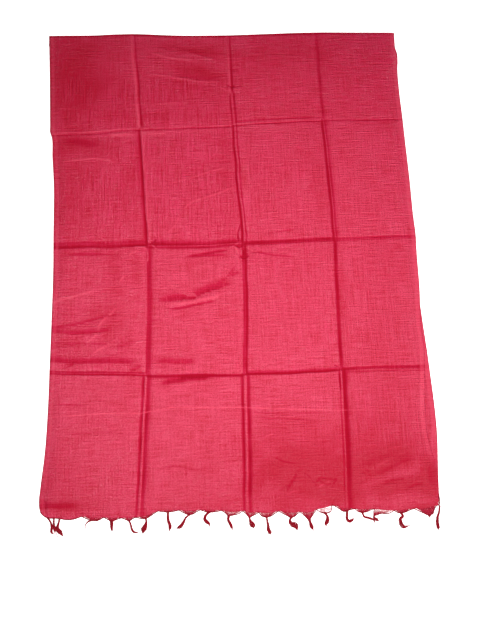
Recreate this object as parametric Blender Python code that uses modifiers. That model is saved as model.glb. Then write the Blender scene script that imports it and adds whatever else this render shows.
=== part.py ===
"""A dupatta stole: one woven length, folded once across and laid flat, tasselled at both ends.

+Z is up. The folded edge is at +Y, the two woven ends are at -Y, one on the other, and the
selvedges run along Y. The origin is on the resting plane, under the middle of the whole stole.
Sizes are in millimetres until a mesh is made, measured from the middle of the cloth.
"""

import math
from collections import namedtuple

import bmesh
import bpy
import numpy as np

MM = 0.001

# ---------------------------------------------------------------- driving dimensions, mm
WALL = 1.2             # thickness of the cloth
GAP = 0.3              # between pieces that touch
LIFT = 2.4             # how far the upper layer stands off the lower one between creases
UPPER = 2 * WALL + GAP  # top of the upper layer where it is pressed down
SELVEDGE_SETTLE = 26   # the upper layer comes down over this width at its edges
FOLD_LIFT = 1.0        # what is left of the lift at the folded edge
FOLD_SETTLE = 60       # length over which the cloth comes down to the folded edge
TURN_STEPS = 5         # facets round the folded edge
FLAP_END = 464         # y at which the turned-under cloth meets the lower half
STRIP = 3.0            # width of the hem strip that the fringe grows from
WIDEST_COLUMN = 0.155  # of a packing column
WIDEST_ROW = 0.14      # of a packing row
CREASE_FLANKS = (-0.07, -0.03, 0.03, 0.07)  # extra sections beside a crease, of a packing column
NEAREST_SECTIONS = 0.014

# Lengthwise lines: the selvedges and the three packing creases between them. Stations run from
# 0 at the fold to 4 at the hem, with the crosswise creases at 1, 2 and 3. Values are x.
LENGTHWISE = (
    # station, left, crease 1, crease 2, crease 3, right
    (0.00, -363.0, -193.0, 6.0, 187.8, 352.3),
    (0.50, -359.7, -186.2, 7.2, 188.2, 351.8),
    (1.00, -356.5, -179.8, 8.9, 190.3, 352.7),
    (1.50, -347.6, -173.5, 12.8, 195.2, 354.7),
    (2.00, -346.6, -166.9, 19.1, 196.4, 355.9),
    (2.50, -347.2, -166.3, 17.0, 193.3, 352.6),
    (3.00, -349.7, -171.6, 11.8, 191.8, 348.6),
    (3.25, -351.1, -174.9, 10.7, 191.5, 342.8),
    (3.50, -354.8, -178.7, 9.6, 189.8, 341.2),
    (3.75, -361.5, -182.4, 8.0, 187.6, 354.8),
    (3.90, -364.0, -184.8, 6.6, 186.2, 352.3),
    (4.00, -353.0, -186.0, 5.5, 185.4, 353.0),
)

# Crosswise lines: the folded edge and the three packing creases. Stations run from 0 at the left
# selvedge to 4 at the right one. Values are y.
CROSSWISE = (
    # station, fold, crease 1, crease 2, crease 3
    (0.0, 488.0, 266.7, 24.7, -219.8),
    (0.5, 486.6, 268.0, 23.2, -224.6),
    (1.0, 485.3, 273.6, 23.4, -229.6),
    (1.5, 483.1, 275.2, 19.9, -232.0),
    (2.0, 480.7, 276.9, 22.6, -234.2),
    (2.5, 482.0, 280.7, 22.8, -234.5),
    (3.0, 483.1, 282.9, 24.8, -231.9),
    (3.5, 480.9, 281.3, 26.6, -230.3),
    (4.0, 478.7, 281.5, 27.1, -231.5),
)

# The front hem, from the left selvedge to the right one.
FRONT_HEM = (
    # station, y
    (0.00, -476.0),
    (0.16, -483.0),
    (0.42, -480.3),
    (0.65, -483.6),
    (1.06, -481.0),
    (1.17, -476.0),
    (1.57, -478.0),
    (1.96, -483.5),
    (2.52, -487.4),
    (2.68, -485.0),
    (2.85, -475.7),
    (2.96, -481.0),
    (3.28, -487.3),
    (3.70, -490.9),
    (4.00, -482.2),
)
HEM_SHAPE_POWER = 6  # how fast the hem's unevenness dies away up the last row

# The lower half: its selvedges, which show past the upper half on the right, and its own hem.
BACK_SIDES = (
    # station, left, right
    (0.0, -358.0, 348.0),
    (1.0, -352.0, 348.5),
    (2.0, -342.5, 351.0),
    (2.5, -343.0, 351.5),
    (3.0, -346.0, 357.4),
    (3.5, -350.0, 359.7),
    (3.8, -355.0, 354.5),
    (4.0, -347.0, 351.5),
)
BACK_HEM = (
    # station, y
    (0.0, -436.0),
    (3.0, -440.0),
    (3.5, -444.0),
    (3.8, -455.0),
    (4.0, -477.0),
)

# Packing creases in the upper layer. A ridge stands up along the line, and a trough runs beside it.
Crease = namedtuple("Crease", "station ridge ridge_width trough trough_width trough_offset")
LENGTHWISE_CREASES = (
    Crease(1, 2.0, 6, 1.5, 8, 10),
    Crease(2, 2.2, 6, 1.7, 8, 10),
    Crease(3, 1.9, 6, 1.5, 8, 9),
)
CROSSWISE_CREASES = (
    Crease(1, 2.0, 7, 0.8, 9, -12),
    Crease(2, -2.2, 10, -0.9, 14, -18),
    Crease(3, -2.0, 9, -0.8, 13, -16),
)

# Soft folds in the upper layer: from one point to another, fading at both ends.
Swell = namedtuple("Swell", "x_start y_start x_end y_end height half_width")
SWELLS = (
    Swell(-160, -88, 5, -42, -1.8, 17),
    Swell(-160, -112, -15, -96, 2.0, 18),
    Swell(-100, -4, 0, 8, -1.3, 12),
    Swell(-344, -137, -230, -112, -1.4, 13),
    Swell(-342, -160, -250, -166, 1.3, 14),
    Swell(-222, -48, -262, -148, 1.4, 15),
    Swell(-190, -92, -193, -172, -1.6, 14),
    Swell(-150, -252, -44, -234, -1.4, 16),
    Swell(-157, 398, 5, 366, 1.3, 16),
    Swell(-341, 214, -232, 204, 1.2, 16),
    Swell(-94, 111, 9, 141, 1.2, 15),
    Swell(100, -432, 184, -436, 1.3, 18),
    Swell(262, -440, 338, -446, 1.2, 18),
    Swell(-350, -457, -296, -460, -1.5, 14),
)

# Tassels of the front end, left to right. Each gathers the warp from fan_left to the next row's
# fan_left into a knot, and its strand runs from the knot through a bend and a turn to its tip.
Tassel = namedtuple(
    "Tassel", "fan_left knot_x knot_y bend_x bend_y turn_x turn_y tip_x tip_y tip_width"
)
FRONT_TASSELS = (
    Tassel(-353, -346, -487, -343, -494, -341, -501, -339, -508, 3.4),
    Tassel(-341, -336, -488, -335, -495, -334, -502, -333, -510, 3.0),
    Tassel(-332, -327, -488, -329, -496, -326, -506, -319, -518, 4.2),
    Tassel(-288, -261, -489, -276, -490, -282, -496, -282, -505, 1.8),
    Tassel(-249, -235, -491, -234, -497, -235, -503, -235, -509, 3.0),
    Tassel(-217, -204, -492, -200, -500, -198, -509, -188, -514, 2.6),
    Tassel(-191, -175, -492, -174, -500, -179, -509, -181, -516, 4.6),
    Tassel(-153, -135, -483, -135, -493, -132, -502, -133, -513, 3.2),
    Tassel(-118, -96, -485, -105, -493, -109, -502, -120, -510, 3.4),
    Tassel(-78, -63, -483, -71, -492, -62, -501, -61, -510, 3.4),
    Tassel(-41, -28, -489, -28, -497, -24, -506, -22, -515, 2.6),
    Tassel(-3, 10, -494, 11, -500, 13, -507, 17, -516, 4.6),
    Tassel(26, 40, -496, 41, -504, 42, -513, 45, -524, 4.0),
    Tassel(61, 83, -497, 81, -504, 88, -511, 94, -521, 4.6),
    Tassel(100, 116, -501, 117, -507, 119, -514, 123, -521, 3.2),
    Tassel(129, 145, -492, 149, -500, 146, -508, 146, -516, 4.4),
    Tassel(158, 184, -494, 183, -502, 187, -508, 196, -504, 2.8),
    Tassel(200, 211, -494, 214, -501, 225, -507, 232, -516, 2.4),
    Tassel(233, 262, -496, 247, -497, 231, -500, 239, -509, 2.6),
    Tassel(270, 281, -498, 280, -506, 280, -513, 291, -520, 3.4),
    Tassel(304, 333, -502, 332, -505, 331, -508, 330, -511, 2.4),
)
LAST_FAN_END = 346
HEM_RIGHT = 353

# Tassels of the back end lie hidden under the upper layer, evenly spaced, but for the last one,
# which comes out past the right corner.
BACK_TASSEL_COUNT = 21
BACK_KNOT_DROP = 8
BACK_STRAND = 22
BACK_REACH = -474      # the hidden tassels end behind this y
BACK_SWAY = 5
BACK_CORNER = Tassel(336, 349, -484, 349, -498, 346, -513, 346, -529, 3.0)

# Sections of a tassel: how far along, how wide and how tall.
FAN_MIDDLE = (0.55, 0.46)    # share of the way to the knot, share of the fan's width left
KNOT_WIDTH = 4.2
KNOT_LENGTH = 3.0
STRAND_WIDTH = 2.1
TIP_POINT = 0.7
STEPS_PER_BEND = 2
Layer = namedtuple("Layer", "floor fan_height knot_height strand_height")
FRONT_LAYER = Layer(0.45, 1.0, 2.4, 1.7)
BACK_LAYER = Layer(0.25, 0.8, 0.9, 0.85)

CLOTH_ROSE = (0.62, 0.045, 0.10, 1.0)
THREAD_CRIMSON = (0.42, 0.012, 0.035, 1.0)
CLOTH_ROUGHNESS = 0.62
THREAD_ROUGHNESS = 0.75


# ---------------------------------------------------------------- where the cloth is
def curve_through(stations, values, at):
    """A smooth curve through the given values, read at one station."""
    stations = np.asarray(stations, float)
    values = np.asarray(values, float)
    slopes = np.gradient(values, stations)
    k = int(np.clip(np.searchsorted(stations, at) - 1, 0, len(stations) - 2))
    span = stations[k + 1] - stations[k]
    t = (at - stations[k]) / span
    rise = values[k + 1] - values[k]
    start, end = slopes[k] * span, slopes[k + 1] * span
    return values[k] + t * start + t * t * (3 * rise - 2 * start - end) + t ** 3 * (start + end - 2 * rise)


def column(table, index):
    return [row[index] for row in table]


def read_table(table, at):
    """Every value column of a table at one station."""
    stations = column(table, 0)
    return [curve_through(stations, column(table, i), at) for i in range(1, len(table[0]))]


def broken_line(table, at):
    return float(np.interp(at, column(table, 0), column(table, 1)))


def front_place(u, v):
    """x and y of the upper half at u across, 0 to 4, and v down from the fold, 0 to 4."""
    lines = range(len(LENGTHWISE[0]) - 1)
    x = float(np.interp(u, lines, read_table(LENGTHWISE, v)))
    hem_level = np.interp(u, (0, len(lines) - 1), (FRONT_HEM[0][1], FRONT_HEM[-1][1]))
    levels = read_table(CROSSWISE, u) + [hem_level]
    y = float(np.interp(v, range(len(levels)), levels))
    uneven = broken_line(FRONT_HEM, u) - hem_level
    near_hem = max(0.0, v - (len(levels) - 2)) ** HEM_SHAPE_POWER
    return x, y + uneven * near_hem


def back_place(u, v):
    """x and y of the lower half at the same stations, from the turned-under flap to its hem."""
    left, right = read_table(BACK_SIDES, v)
    x = left + (right - left) * u / 4
    levels = [FLAP_END - GAP] + read_table(CROSSWISE, u)[1:] + [curve_through(*zip(*BACK_HEM), u)]
    return x, float(np.interp(v, range(len(levels)), levels))


# ---------------------------------------------------------------- how high the upper layer stands
def bell(distance, width):
    return math.exp(-((distance / width) ** 2))


def settled(distance, over):
    """0 at an edge, rising smoothly to 1 at a distance."""
    t = min(1.0, max(0.0, distance / over))
    return t * t * (3 - 2 * t)


def swell_height(swell, x, y):
    along = np.array((swell.x_end - swell.x_start, swell.y_end - swell.y_start), float)
    length = float(np.hypot(*along))
    along /= length
    away = np.array((x - swell.x_start, y - swell.y_start))
    t = float(away @ along)
    across = float(away[0] * along[1] - away[1] * along[0])
    past_end = max(0.0, -t, t - length)
    fade = settled(t + swell.half_width, length / 2) * settled(length + swell.half_width - t, length / 2)
    return swell.height * fade * bell(math.hypot(across, past_end), swell.half_width)


def crease_height(crease, distance):
    ridge = crease.ridge * bell(distance, crease.ridge_width)
    return ridge - crease.trough * bell(distance - crease.trough_offset, crease.trough_width)


def front_height(u, v):
    """Top of the upper layer."""
    x, y = front_place(u, v)
    lines = read_table(LENGTHWISE, v)
    levels = read_table(CROSSWISE, u)
    hem = front_place(u, 4)[1]
    from_edge = settled(min(x - lines[0], lines[-1] - x, y - hem), SELVEDGE_SETTLE)
    from_fold = settled(levels[0] - y, FOLD_SETTLE)
    relief = (FOLD_LIFT + (LIFT - FOLD_LIFT) * from_fold) * from_edge
    relief += sum(swell_height(s, x, y) for s in SWELLS) * from_edge
    relief += sum(crease_height(c, x - lines[c.station]) for c in LENGTHWISE_CREASES)
    relief += sum(crease_height(c, y - levels[c.station]) for c in CROSSWISE_CREASES)
    return UPPER + max(0.0, relief)


# ---------------------------------------------------------------- sections of the grids
def fan_edges():
    """x of the points where neighbouring fans of the front fringe meet."""
    return [t.fan_left for t in FRONT_TASSELS] + [LAST_FAN_END, HEM_RIGHT]


def station_at_hem(x):
    return float(np.interp(x, LENGTHWISE[-1][1:], range(len(LENGTHWISE[-1]) - 1)))


def sections(fixed, wanted, widest):
    """Stations from 0 to 4: all the fixed ones, the wanted ones not crowding them, and fill-ins."""
    kept = sorted(set(fixed))
    for w in wanted:
        if min(abs(w - k) for k in kept) > NEAREST_SECTIONS:
            kept = sorted(kept + [w])
    filled = [kept[0]]
    for low, high in zip(kept, kept[1:]):
        pieces = math.ceil((high - low) / widest)
        filled += [low + (high - low) * i / pieces for i in range(1, pieces + 1)]
    return filled


def flanks(lines):
    return [line + flank for line in lines for flank in CREASE_FLANKS]


HEM_STATIONS = [station_at_hem(x) for x in fan_edges()]
COLUMNS = sections(HEM_STATIONS + [1, 2, 3], flanks((1, 2, 3)) + [0.03, 0.1, 3.9, 3.97], WIDEST_COLUMN)
ROWS = sections([0, 1, 2, 3, 4], flanks((1, 2, 3)) + [0.04, 0.12, 3.9, 3.96], WIDEST_ROW)


# ---------------------------------------------------------------- cloth walls
def material(name, colour, roughness):
    made = bpy.data.materials.new(name)
    made.use_nodes = True
    shader = made.node_tree.nodes["Principled BSDF"]
    shader.inputs["Base Color"].default_value = colour
    shader.inputs["Roughness"].default_value = roughness
    shader.inputs["Metallic"].default_value = 0.0
    return made


def add_object(name, mesh, finish, collection):
    mesh.materials.append(finish)
    made = bpy.data.objects.new(name, mesh)
    collection.objects.link(made)
    return made


def cloth_wall(name, rows_of_points, finish, collection):
    """A wall under a grid of points: a grid primitive moved onto them, then thickened downwards."""
    down, across = len(rows_of_points), len(rows_of_points[0])
    shape = bmesh.new()
    bmesh.ops.create_grid(shape, x_segments=across - 1, y_segments=down - 1, size=1.0)
    for vertex in shape.verts:
        i = round((vertex.co.x + 1) / 2 * (across - 1))
        j = round((1 - vertex.co.y) / 2 * (down - 1))
        vertex.co = [c * MM for c in rows_of_points[j][i]]
    mesh = bpy.data.meshes.new(name)
    shape.to_mesh(mesh)
    shape.free()
    wall = add_object(name, mesh, finish, collection)
    thickness = wall.modifiers.new("thickness", "SOLIDIFY")
    thickness.thickness = WALL * MM
    thickness.offset = -1.0
    thickness.use_even_offset = True
    mesh.shade_smooth()
    return wall


def front_points():
    """Rows of points from the turned-under flap, round the folded edge and down to the hem."""
    rows = [[(front_place(u, 0)[0], FLAP_END, 0.0) for u in COLUMNS]]
    for step in range(TURN_STEPS):
        angle = math.pi * (step / TURN_STEPS - 0.5)
        rows.append([turn_point(u, angle) for u in COLUMNS])
    for v in ROWS:
        rows.append([(*trimmed(u, v), front_height(u, v)) for u in COLUMNS])
    return rows


def turn_point(u, angle):
    """A point on the half round of the folded edge, from under (-90 degrees) to its top (90)."""
    x, y = front_place(u, 0)
    radius = front_height(u, 0) / 2
    return x, y - radius + radius * math.cos(angle), radius + radius * math.sin(angle)


def trimmed(u, v):
    """The place of a front point, with room for the rounded fold above and the hem strip below."""
    x, y = front_place(u, v)
    if v == 0:
        y -= front_height(u, 0) / 2
    if v == 4:
        y += STRIP + GAP
    return x, y


def back_points():
    stations = [i / 2 for i in range(9)]
    return [[(*back_place(u, v), WALL) for u in BACK_COLUMNS] for v in stations]


# ---------------------------------------------------------------- fringes
def section_corners(x, y, direction, width, floor, height):
    """The four corners of a strand's section, which lies across its direction."""
    side_x, side_y = -direction[1] * width / 2, direction[0] * width / 2
    right, left = (x - side_x, y - side_y), (x + side_x, y + side_y)
    return [
        (*right, floor + height),
        (*left, floor + height),
        (*left, floor),
        (*right, floor),
    ]


def strand_route(tassel):
    """Points and directions along a tassel's strand, from under its knot to its tip."""
    controls = np.array(
        (
            (tassel.knot_x, tassel.knot_y),
            (tassel.bend_x, tassel.bend_y),
            (tassel.turn_x, tassel.turn_y),
            (tassel.tip_x, tassel.tip_y),
        ),
        float,
    )
    spans = range(len(controls))
    steps = STEPS_PER_BEND * (len(controls) - 1)
    route = []
    for i in range(steps + 1):
        at = i / STEPS_PER_BEND
        route.append([curve_through(spans, controls[:, axis], at) for axis in (0, 1)])
    route = np.array(route)
    directions = np.gradient(route, axis=0)
    return route, directions / np.linalg.norm(directions, axis=1, keepdims=True)


def tassel_sections(tassel, fan, layer):
    """Rings of corners from the strip's outer face, through the knot, to the strand's tip."""
    fan_right = fan[0]
    fan_left = fan[1]
    middle = [(a + b) / 2 for a, b in zip(fan_right, fan_left)]
    fan_width = math.dist(fan_right[:2], fan_left[:2])
    share, left_over = FAN_MIDDLE
    knot = (tassel.knot_x, tassel.knot_y)
    down = (0.0, -1.0)
    rings = [
        section_corners(
            middle[0] + (knot[0] - middle[0]) * share,
            middle[1] + (knot[1] + KNOT_LENGTH / 2 - middle[1]) * share,
            down,
            fan_width * left_over,
            (layer.floor + middle[2] - WALL) / 2,
            layer.fan_height,
        ),
        section_corners(knot[0], knot[1] + KNOT_LENGTH / 2, down, STRAND_WIDTH, layer.floor, layer.knot_height),
    ]
    route, directions = strand_route(tassel)
    rings.append(section_corners(*route[0], down, KNOT_WIDTH, layer.floor, layer.knot_height))
    for i in range(1, len(route)):
        share = i / (len(route) - 1)
        width = STRAND_WIDTH + (tassel.tip_width - STRAND_WIDTH) * settled(share - 0.4, 0.5)
        if i == len(route) - 1:
            width = TIP_POINT
        rings.append(section_corners(*route[i], directions[i], width, layer.floor, layer.strand_height))
    return rings


def fringe(name, inner, outer, tassels, layer, finish, collection):
    """A hem strip with its tassels, as one skin.

    inner has, for each stretch of the strip, the points along the cloth's edge; outer has the
    two ends of each stretch on the free side. Every point is x, y and the strip's top.
    A stretch with no tassel is closed by a plain face.
    """
    shape = bmesh.new()
    known = {}

    def corner(point):
        key = tuple(round(c, 4) for c in point)
        if key not in known:
            known[key] = shape.verts.new([c * MM for c in point])
        return known[key]

    def face(points):
        shape.faces.new([corner(p) for p in points])

    def under(point):
        return (point[0], point[1], point[2] - WALL)

    for edge, (left, right), tassel in zip(inner, outer, tassels):
        face([left, right] + edge[::-1])
        face([under(p) for p in edge + [right, left]])
        for a, b in zip(edge, edge[1:]):
            face([b, a, under(a), under(b)])
        ring = [left, right, under(right), under(left)]
        if tassel is not None:
            for section in tassel_sections(tassel, ring, layer):
                for i in range(4):
                    face([ring[(i + 1) % 4], ring[i], section[i], section[(i + 1) % 4]])
                ring = section
        face(ring[::-1])
    for left_end, outer_end, turned in ((inner[0][0], outer[0][0], 1), (inner[-1][-1], outer[-1][1], -1)):
        face([left_end, outer_end, under(outer_end), under(left_end)][::turned])
    bmesh.ops.recalc_face_normals(shape, faces=shape.faces)
    mesh = bpy.data.meshes.new(name)
    shape.to_mesh(mesh)
    shape.free()
    return add_object(name, mesh, finish, collection)


def front_fringe_edges():
    """The strip's stretches between neighbouring fans, on the wall's own sections."""
    inner, outer = [], []
    for low, high in zip(HEM_STATIONS, HEM_STATIONS[1:]):
        stations = [u for u in COLUMNS if low - 1e-9 <= u <= high + 1e-9]
        edge = []
        for u in stations:
            x, y = front_place(u, 4)
            edge.append((x, y + STRIP, front_height(u, 4)))
        inner.append(edge)
        outer.append(tuple((x, y - STRIP, z) for x, y, z in (edge[0], edge[-1])))
    return inner, outer


def back_fringe_edges():
    inner, outer = [], []
    for low, high in zip(BACK_COLUMNS, BACK_COLUMNS[1:]):
        ends = [back_place(u, 4) for u in (low, high)]
        inner.append([(x, y - GAP, WALL) for x, y in ends])
        outer.append(tuple((x, y - GAP - STRIP, WALL) for x, y in ends))
    return inner, outer


def back_tassels(outer):
    """Plain short tassels, each swaying the other way from its neighbours, and the corner one."""
    made = []
    for number, (left, right) in enumerate(outer[:-1]):
        x, y = (left[0] + right[0]) / 2, min(left[1], right[1]) - BACK_KNOT_DROP
        sway = BACK_SWAY * math.sin(2.4 * number)
        strand = min(BACK_STRAND, y - BACK_REACH)
        bend, turn, tip = (y - strand * share for share in (0.3, 0.65, 1.0))
        made.append(Tassel(left[0], x, y, x + sway, bend, x - sway / 2, turn, x + sway / 2, tip, 2.6))
    return made + [BACK_CORNER]


BACK_COLUMNS = [4 * i / BACK_TASSEL_COUNT for i in range(BACK_TASSEL_COUNT + 1)]


# ---------------------------------------------------------------- the stole
def centre_on_base(objects):
    """Moves the pieces so that the origin is under the middle of all of them."""
    bpy.context.view_layer.update()
    corners = np.array([(o.matrix_world @ v.co)[:2] for o in objects for v in o.data.vertices])
    middle = (corners.min(axis=0) + corners.max(axis=0)) / 2
    for o in objects:
        o.location.x -= middle[0]
        o.location.y -= middle[1]


def build():
    for old in list(bpy.data.objects):
        bpy.data.objects.remove(old)
    stole = bpy.data.collections.new("dupatta_stole")
    bpy.context.scene.collection.children.link(stole)
    cloth = material("rose_cloth", CLOTH_ROSE, CLOTH_ROUGHNESS)
    under_cloth = material("rose_cloth_under", CLOTH_ROSE, CLOTH_ROUGHNESS)
    thread = material("crimson_thread", THREAD_CRIMSON, THREAD_ROUGHNESS)
    under_thread = material("crimson_thread_under", THREAD_CRIMSON, THREAD_ROUGHNESS)
    front_inner, front_outer = front_fringe_edges()
    back_inner, back_outer = back_fringe_edges()
    pieces = [
        cloth_wall("front_half", front_points(), cloth, stole),
        cloth_wall("back_half", back_points(), under_cloth, stole),
        fringe(
            "front_fringe", front_inner, front_outer, list(FRONT_TASSELS) + [None], FRONT_LAYER, thread, stole
        ),
        fringe(
            "back_fringe", back_inner, back_outer, back_tassels(back_outer), BACK_LAYER, under_thread, stole
        ),
    ]
    centre_on_base(pieces)


build()
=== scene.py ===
import math
from collections import namedtuple

import bpy
import numpy as np
from mathutils import Matrix, Vector


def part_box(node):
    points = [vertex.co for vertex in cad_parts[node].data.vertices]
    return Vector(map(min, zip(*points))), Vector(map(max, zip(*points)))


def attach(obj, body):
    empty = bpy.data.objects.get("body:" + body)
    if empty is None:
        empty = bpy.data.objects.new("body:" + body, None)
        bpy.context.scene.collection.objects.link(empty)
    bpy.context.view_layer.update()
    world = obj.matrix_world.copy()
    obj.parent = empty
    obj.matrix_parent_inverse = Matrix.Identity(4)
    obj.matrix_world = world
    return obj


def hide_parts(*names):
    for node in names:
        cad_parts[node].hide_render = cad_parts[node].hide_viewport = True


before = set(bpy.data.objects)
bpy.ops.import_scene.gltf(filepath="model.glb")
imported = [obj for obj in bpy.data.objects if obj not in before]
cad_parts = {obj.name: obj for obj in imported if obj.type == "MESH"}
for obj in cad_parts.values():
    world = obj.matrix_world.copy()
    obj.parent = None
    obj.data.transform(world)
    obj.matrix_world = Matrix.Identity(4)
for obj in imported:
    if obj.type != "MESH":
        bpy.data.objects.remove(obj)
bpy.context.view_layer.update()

# A dupatta stole, folded once across and laid flat, with knotted tassels at both ends.
# Tables are in millimetres, measured from the middle of the cloth: x across, y along it.
MM = 0.001


def read_rows(kind, table):
    """Rows with named columns, where the last column is all the points that end the row."""
    fixed = len(kind._fields) - 1
    return [kind(*row[:fixed], row[fixed:]) for row in table]


# ---------------------------------------------------------------- the cloth's own lines
# The middle of the cloth in the frame's axes, from two edges of the lower half.
BACK_RIGHTMOST = 359.7
BACK_TOP = 463.7
BACK_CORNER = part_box("back_half")[1]
SHIFT_X = BACK_CORNER.x / MM - BACK_RIGHTMOST
SHIFT_Y = BACK_CORNER.y / MM - BACK_TOP

# Stations run from 0 at the fold to 4 at the hem, and across from 0 at the left selvedge to 4
# at the right one. The packing creases are at 1, 2 and 3.
CREASES = (1, 2, 3)
LENGTHWISE = (
    # station, crease 1, crease 2, crease 3
    (0, -193, 6, 187.8),
    (0.5, -186.2, 7.2, 188.2),
    (1, -179.8, 8.9, 190.3),
    (1.5, -173.5, 12.8, 195.2),
    (2, -166.9, 19.1, 196.4),
    (2.5, -166.3, 17, 193.3),
    (3, -171.6, 11.8, 191.8),
    (3.5, -178.7, 9.6, 189.8),
    (4, -186, 5.5, 185.4),
)
CROSSWISE = (
    # station, fold, crease 1, crease 2, crease 3
    (0, 488, 266.7, 24.7, -219.8),
    (0.5, 486.6, 268, 23.2, -224.6),
    (1, 488.2, 273.6, 23.4, -229.6),
    (1.5, 482.2, 275.2, 19.9, -232),
    (2, 480.7, 276.9, 22.6, -234.2),
    (2.5, 482, 280.7, 22.8, -234.5),
    (3, 483.1, 282.9, 24.8, -231.9),
    (3.5, 480.9, 281.3, 26.6, -230.3),
    (4, 478.7, 281.5, 27.1, -231.5),
)
HEM_LEVEL = -482.0
HEM_CORNERS = (-477.0, -487.0)  # where the two selvedges end
HEM_SHAPE_POWER = 6    # how fast the hem's unevenness dies away up the last row
HEM_LAP = 0.4          # how far a fan's threads lap over the woven hem
# The selvedges of the upper half, from the fold down.
LEFT_SELVEDGE = (
    (-363, 488.1), (-360.6, 420), (-358.5, 341.8), (-357.2, 285), (-356.6, 268), (-354, 260),
    (-351.2, 215), (-347.7, 162.3), (-346.6, 49.4), (-345.9, -35.7), (-347.4, -125),
    (-349.4, -218.1), (-351, -291.6), (-355.7, -373.2), (-361.6, -425), (-363.6, -450),
    (-362.6, -464), (-360.2, -471.5), (-355.4, -477),
)
RIGHT_SELVEDGE = (
    (352.3, 478.7), (351.5, 458), (351.4, 443), (354.4, 430), (354.2, 414), (351.9, 393),
    (351, 348.8), (352.6, 281.7), (353.2, 233.9), (354.8, 146.6), (355.1, 61.5), (356.2, 32.3),
    (354.6, -6.9), (353.4, -74), (350.5, -125.7), (349.6, -155.2), (350.9, -188.4), (348.4, -231.6),
    (344.9, -275.2), (341.3, -313.4), (340.6, -341.2), (342.3, -368), (347.3, -396.3), (353, -424),
    (352.6, -455), (348, -487),
)
# The lower half: its selvedges, its own hem under the upper half, and its stations' levels.
BACK_SIDES = (
    # station, left, right
    (0, -358, 348),
    (1, -352, 348.5),
    (2, -342.5, 351),
    (2.5, -343, 351.5),
    (3, -346, 357.4),
    (3.5, -350, 359.7),
    (3.8, -355, 354.5),
    (4, -347, 351.5),
)
BACK_HEM = (
    # station, y
    (0, -436),
    (3, -440),
    (3.5, -444),
    (3.8, -455),
    (4, -481),
)
BACK_LEVELS = (464, 275, 23, -231, -460)

# ---------------------------------------------------------------- the fringe's own lines
# Each fan of loose warp and weft hangs from the hem between two peaks and runs to its knot.
# fill is how much of it is still woven like the cloth, weave how close its threads lie, and
# knot the number of the outline's point that is the knot.
Fan = namedtuple("Fan", "fill weave knot outline")
FANS = read_rows(Fan, (
    (0.4, 1.9, 3, (-288.3, -481), (-280.5, -484.7), (-269.9, -488.3), (-260.7, -489),
     (-254.9, -487.5), (-248.9, -484.2)),
    (0.37, 1.9, 2, (-248.9, -484.2), (-241.7, -488), (-234.8, -490.8), (-229.3, -489.8),
     (-223.1, -487.8), (-217.3, -486.5)),
    (0.31, 1.6, 2, (-217.3, -486.5), (-210.7, -489), (-203.9, -491.5), (-199.3, -489.4),
     (-195.4, -487.3), (-191.5, -486.6)),
    (0.43, 1.9, 2, (-191.5, -486.6), (-185.1, -488.1), (-174.5, -488.8), (-165.9, -484.7),
     (-159.2, -480.4), (-152.4, -476.9)),
    (0.5, 1.9, 2, (-152.4, -476.9), (-145.5, -478.3), (-135.4, -478.9), (-125.2, -478.6),
     (-120.2, -477.7), (-115.4, -476.9)),
    (0.31, 1.6, 2, (-115.4, -476.9), (-107, -481.7), (-96.4, -485.3), (-91, -484.4),
     (-85.6, -481.5), (-77.5, -478)),
    (0.34, 1.9, 2, (-77.5, -478), (-69.6, -480.7), (-61.6, -482.3), (-55.4, -482.3),
     (-47.4, -481.6), (-40, -480.3)),
    (0.31, 1, 2, (-40, -480.5), (-33.2, -484.9), (-27.9, -489.6), (-20, -489.2), (-9.6, -486.9),
     (-2.1, -482.8)),
    (0.31, 1.6, 2, (-2.1, -482.8), (3.9, -488.1), (9.4, -493.7), (15.6, -491.3), (21, -489.1),
     (26.3, -486)),
    (0.31, 1.6, 2, (26.3, -486), (31, -492.4), (39, -494.5), (48.2, -493.1), (55.2, -488.7),
     (61.6, -485.3)),
    (0.31, 1.6, 2, (61.6, -485.3), (73.2, -491.8), (83.9, -496.7), (90.2, -495.2), (95.1, -491.2),
     (99.9, -488.1)),
    (0.31, 1.9, 2, (99.9, -488.1), (107.4, -495), (115.6, -502.1), (120.8, -496.1), (125.4, -490.3),
     (129.5, -485.2)),
    (0.19, 0.6, 2, (129.5, -485.2), (135.9, -489.5), (144.3, -492.1), (155.5, -488.5),
     (156.6, -483.8), (157.4, -477.4)),
    (0.5, 1.9, 3, (157.4, -477.4), (167.4, -483.2), (178.2, -490.1), (184.4, -489.4),
     (191.4, -487.3), (199.2, -486.9)),
    (0.31, 1.3, 2, (199.2, -486.9), (203, -491), (211.3, -493.1), (222.9, -491.3), (228.2, -489),
     (233.5, -487.5)),
    (0.19, 0.8, 2, (233.5, -487.5), (231.6, -493.4), (232.3, -498.1), (245.2, -496.3),
     (257, -497.1), (268.4, -492.4)),
    (0.31, 1.6, 2, (268.6, -492.2), (274.6, -495.9), (281, -496.7), (289.5, -495.4),
     (297.2, -492.2), (304.7, -490.4)),
    (0.1, 3, 2, (304.7, -490.4), (317, -496.5), (331.3, -502.1), (337.8, -500.2), (341.5, -492),
     (345.6, -487)),
))
# The hem left of the first fan, where the cloth is woven to its edge, and right of the last.
HEM_LEFT = (
    (-360.8, -471), (-355.4, -477), (-347.4, -481.5), (-336.5, -482.2), (-326.5, -483.3),
    (-315.7, -485.6), (-305.6, -485.8), (-296.7, -483.9), (-288.3, -481),
)
HEM_RIGHT = ((345.6, -487.0), (352.0, -486.5))

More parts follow.
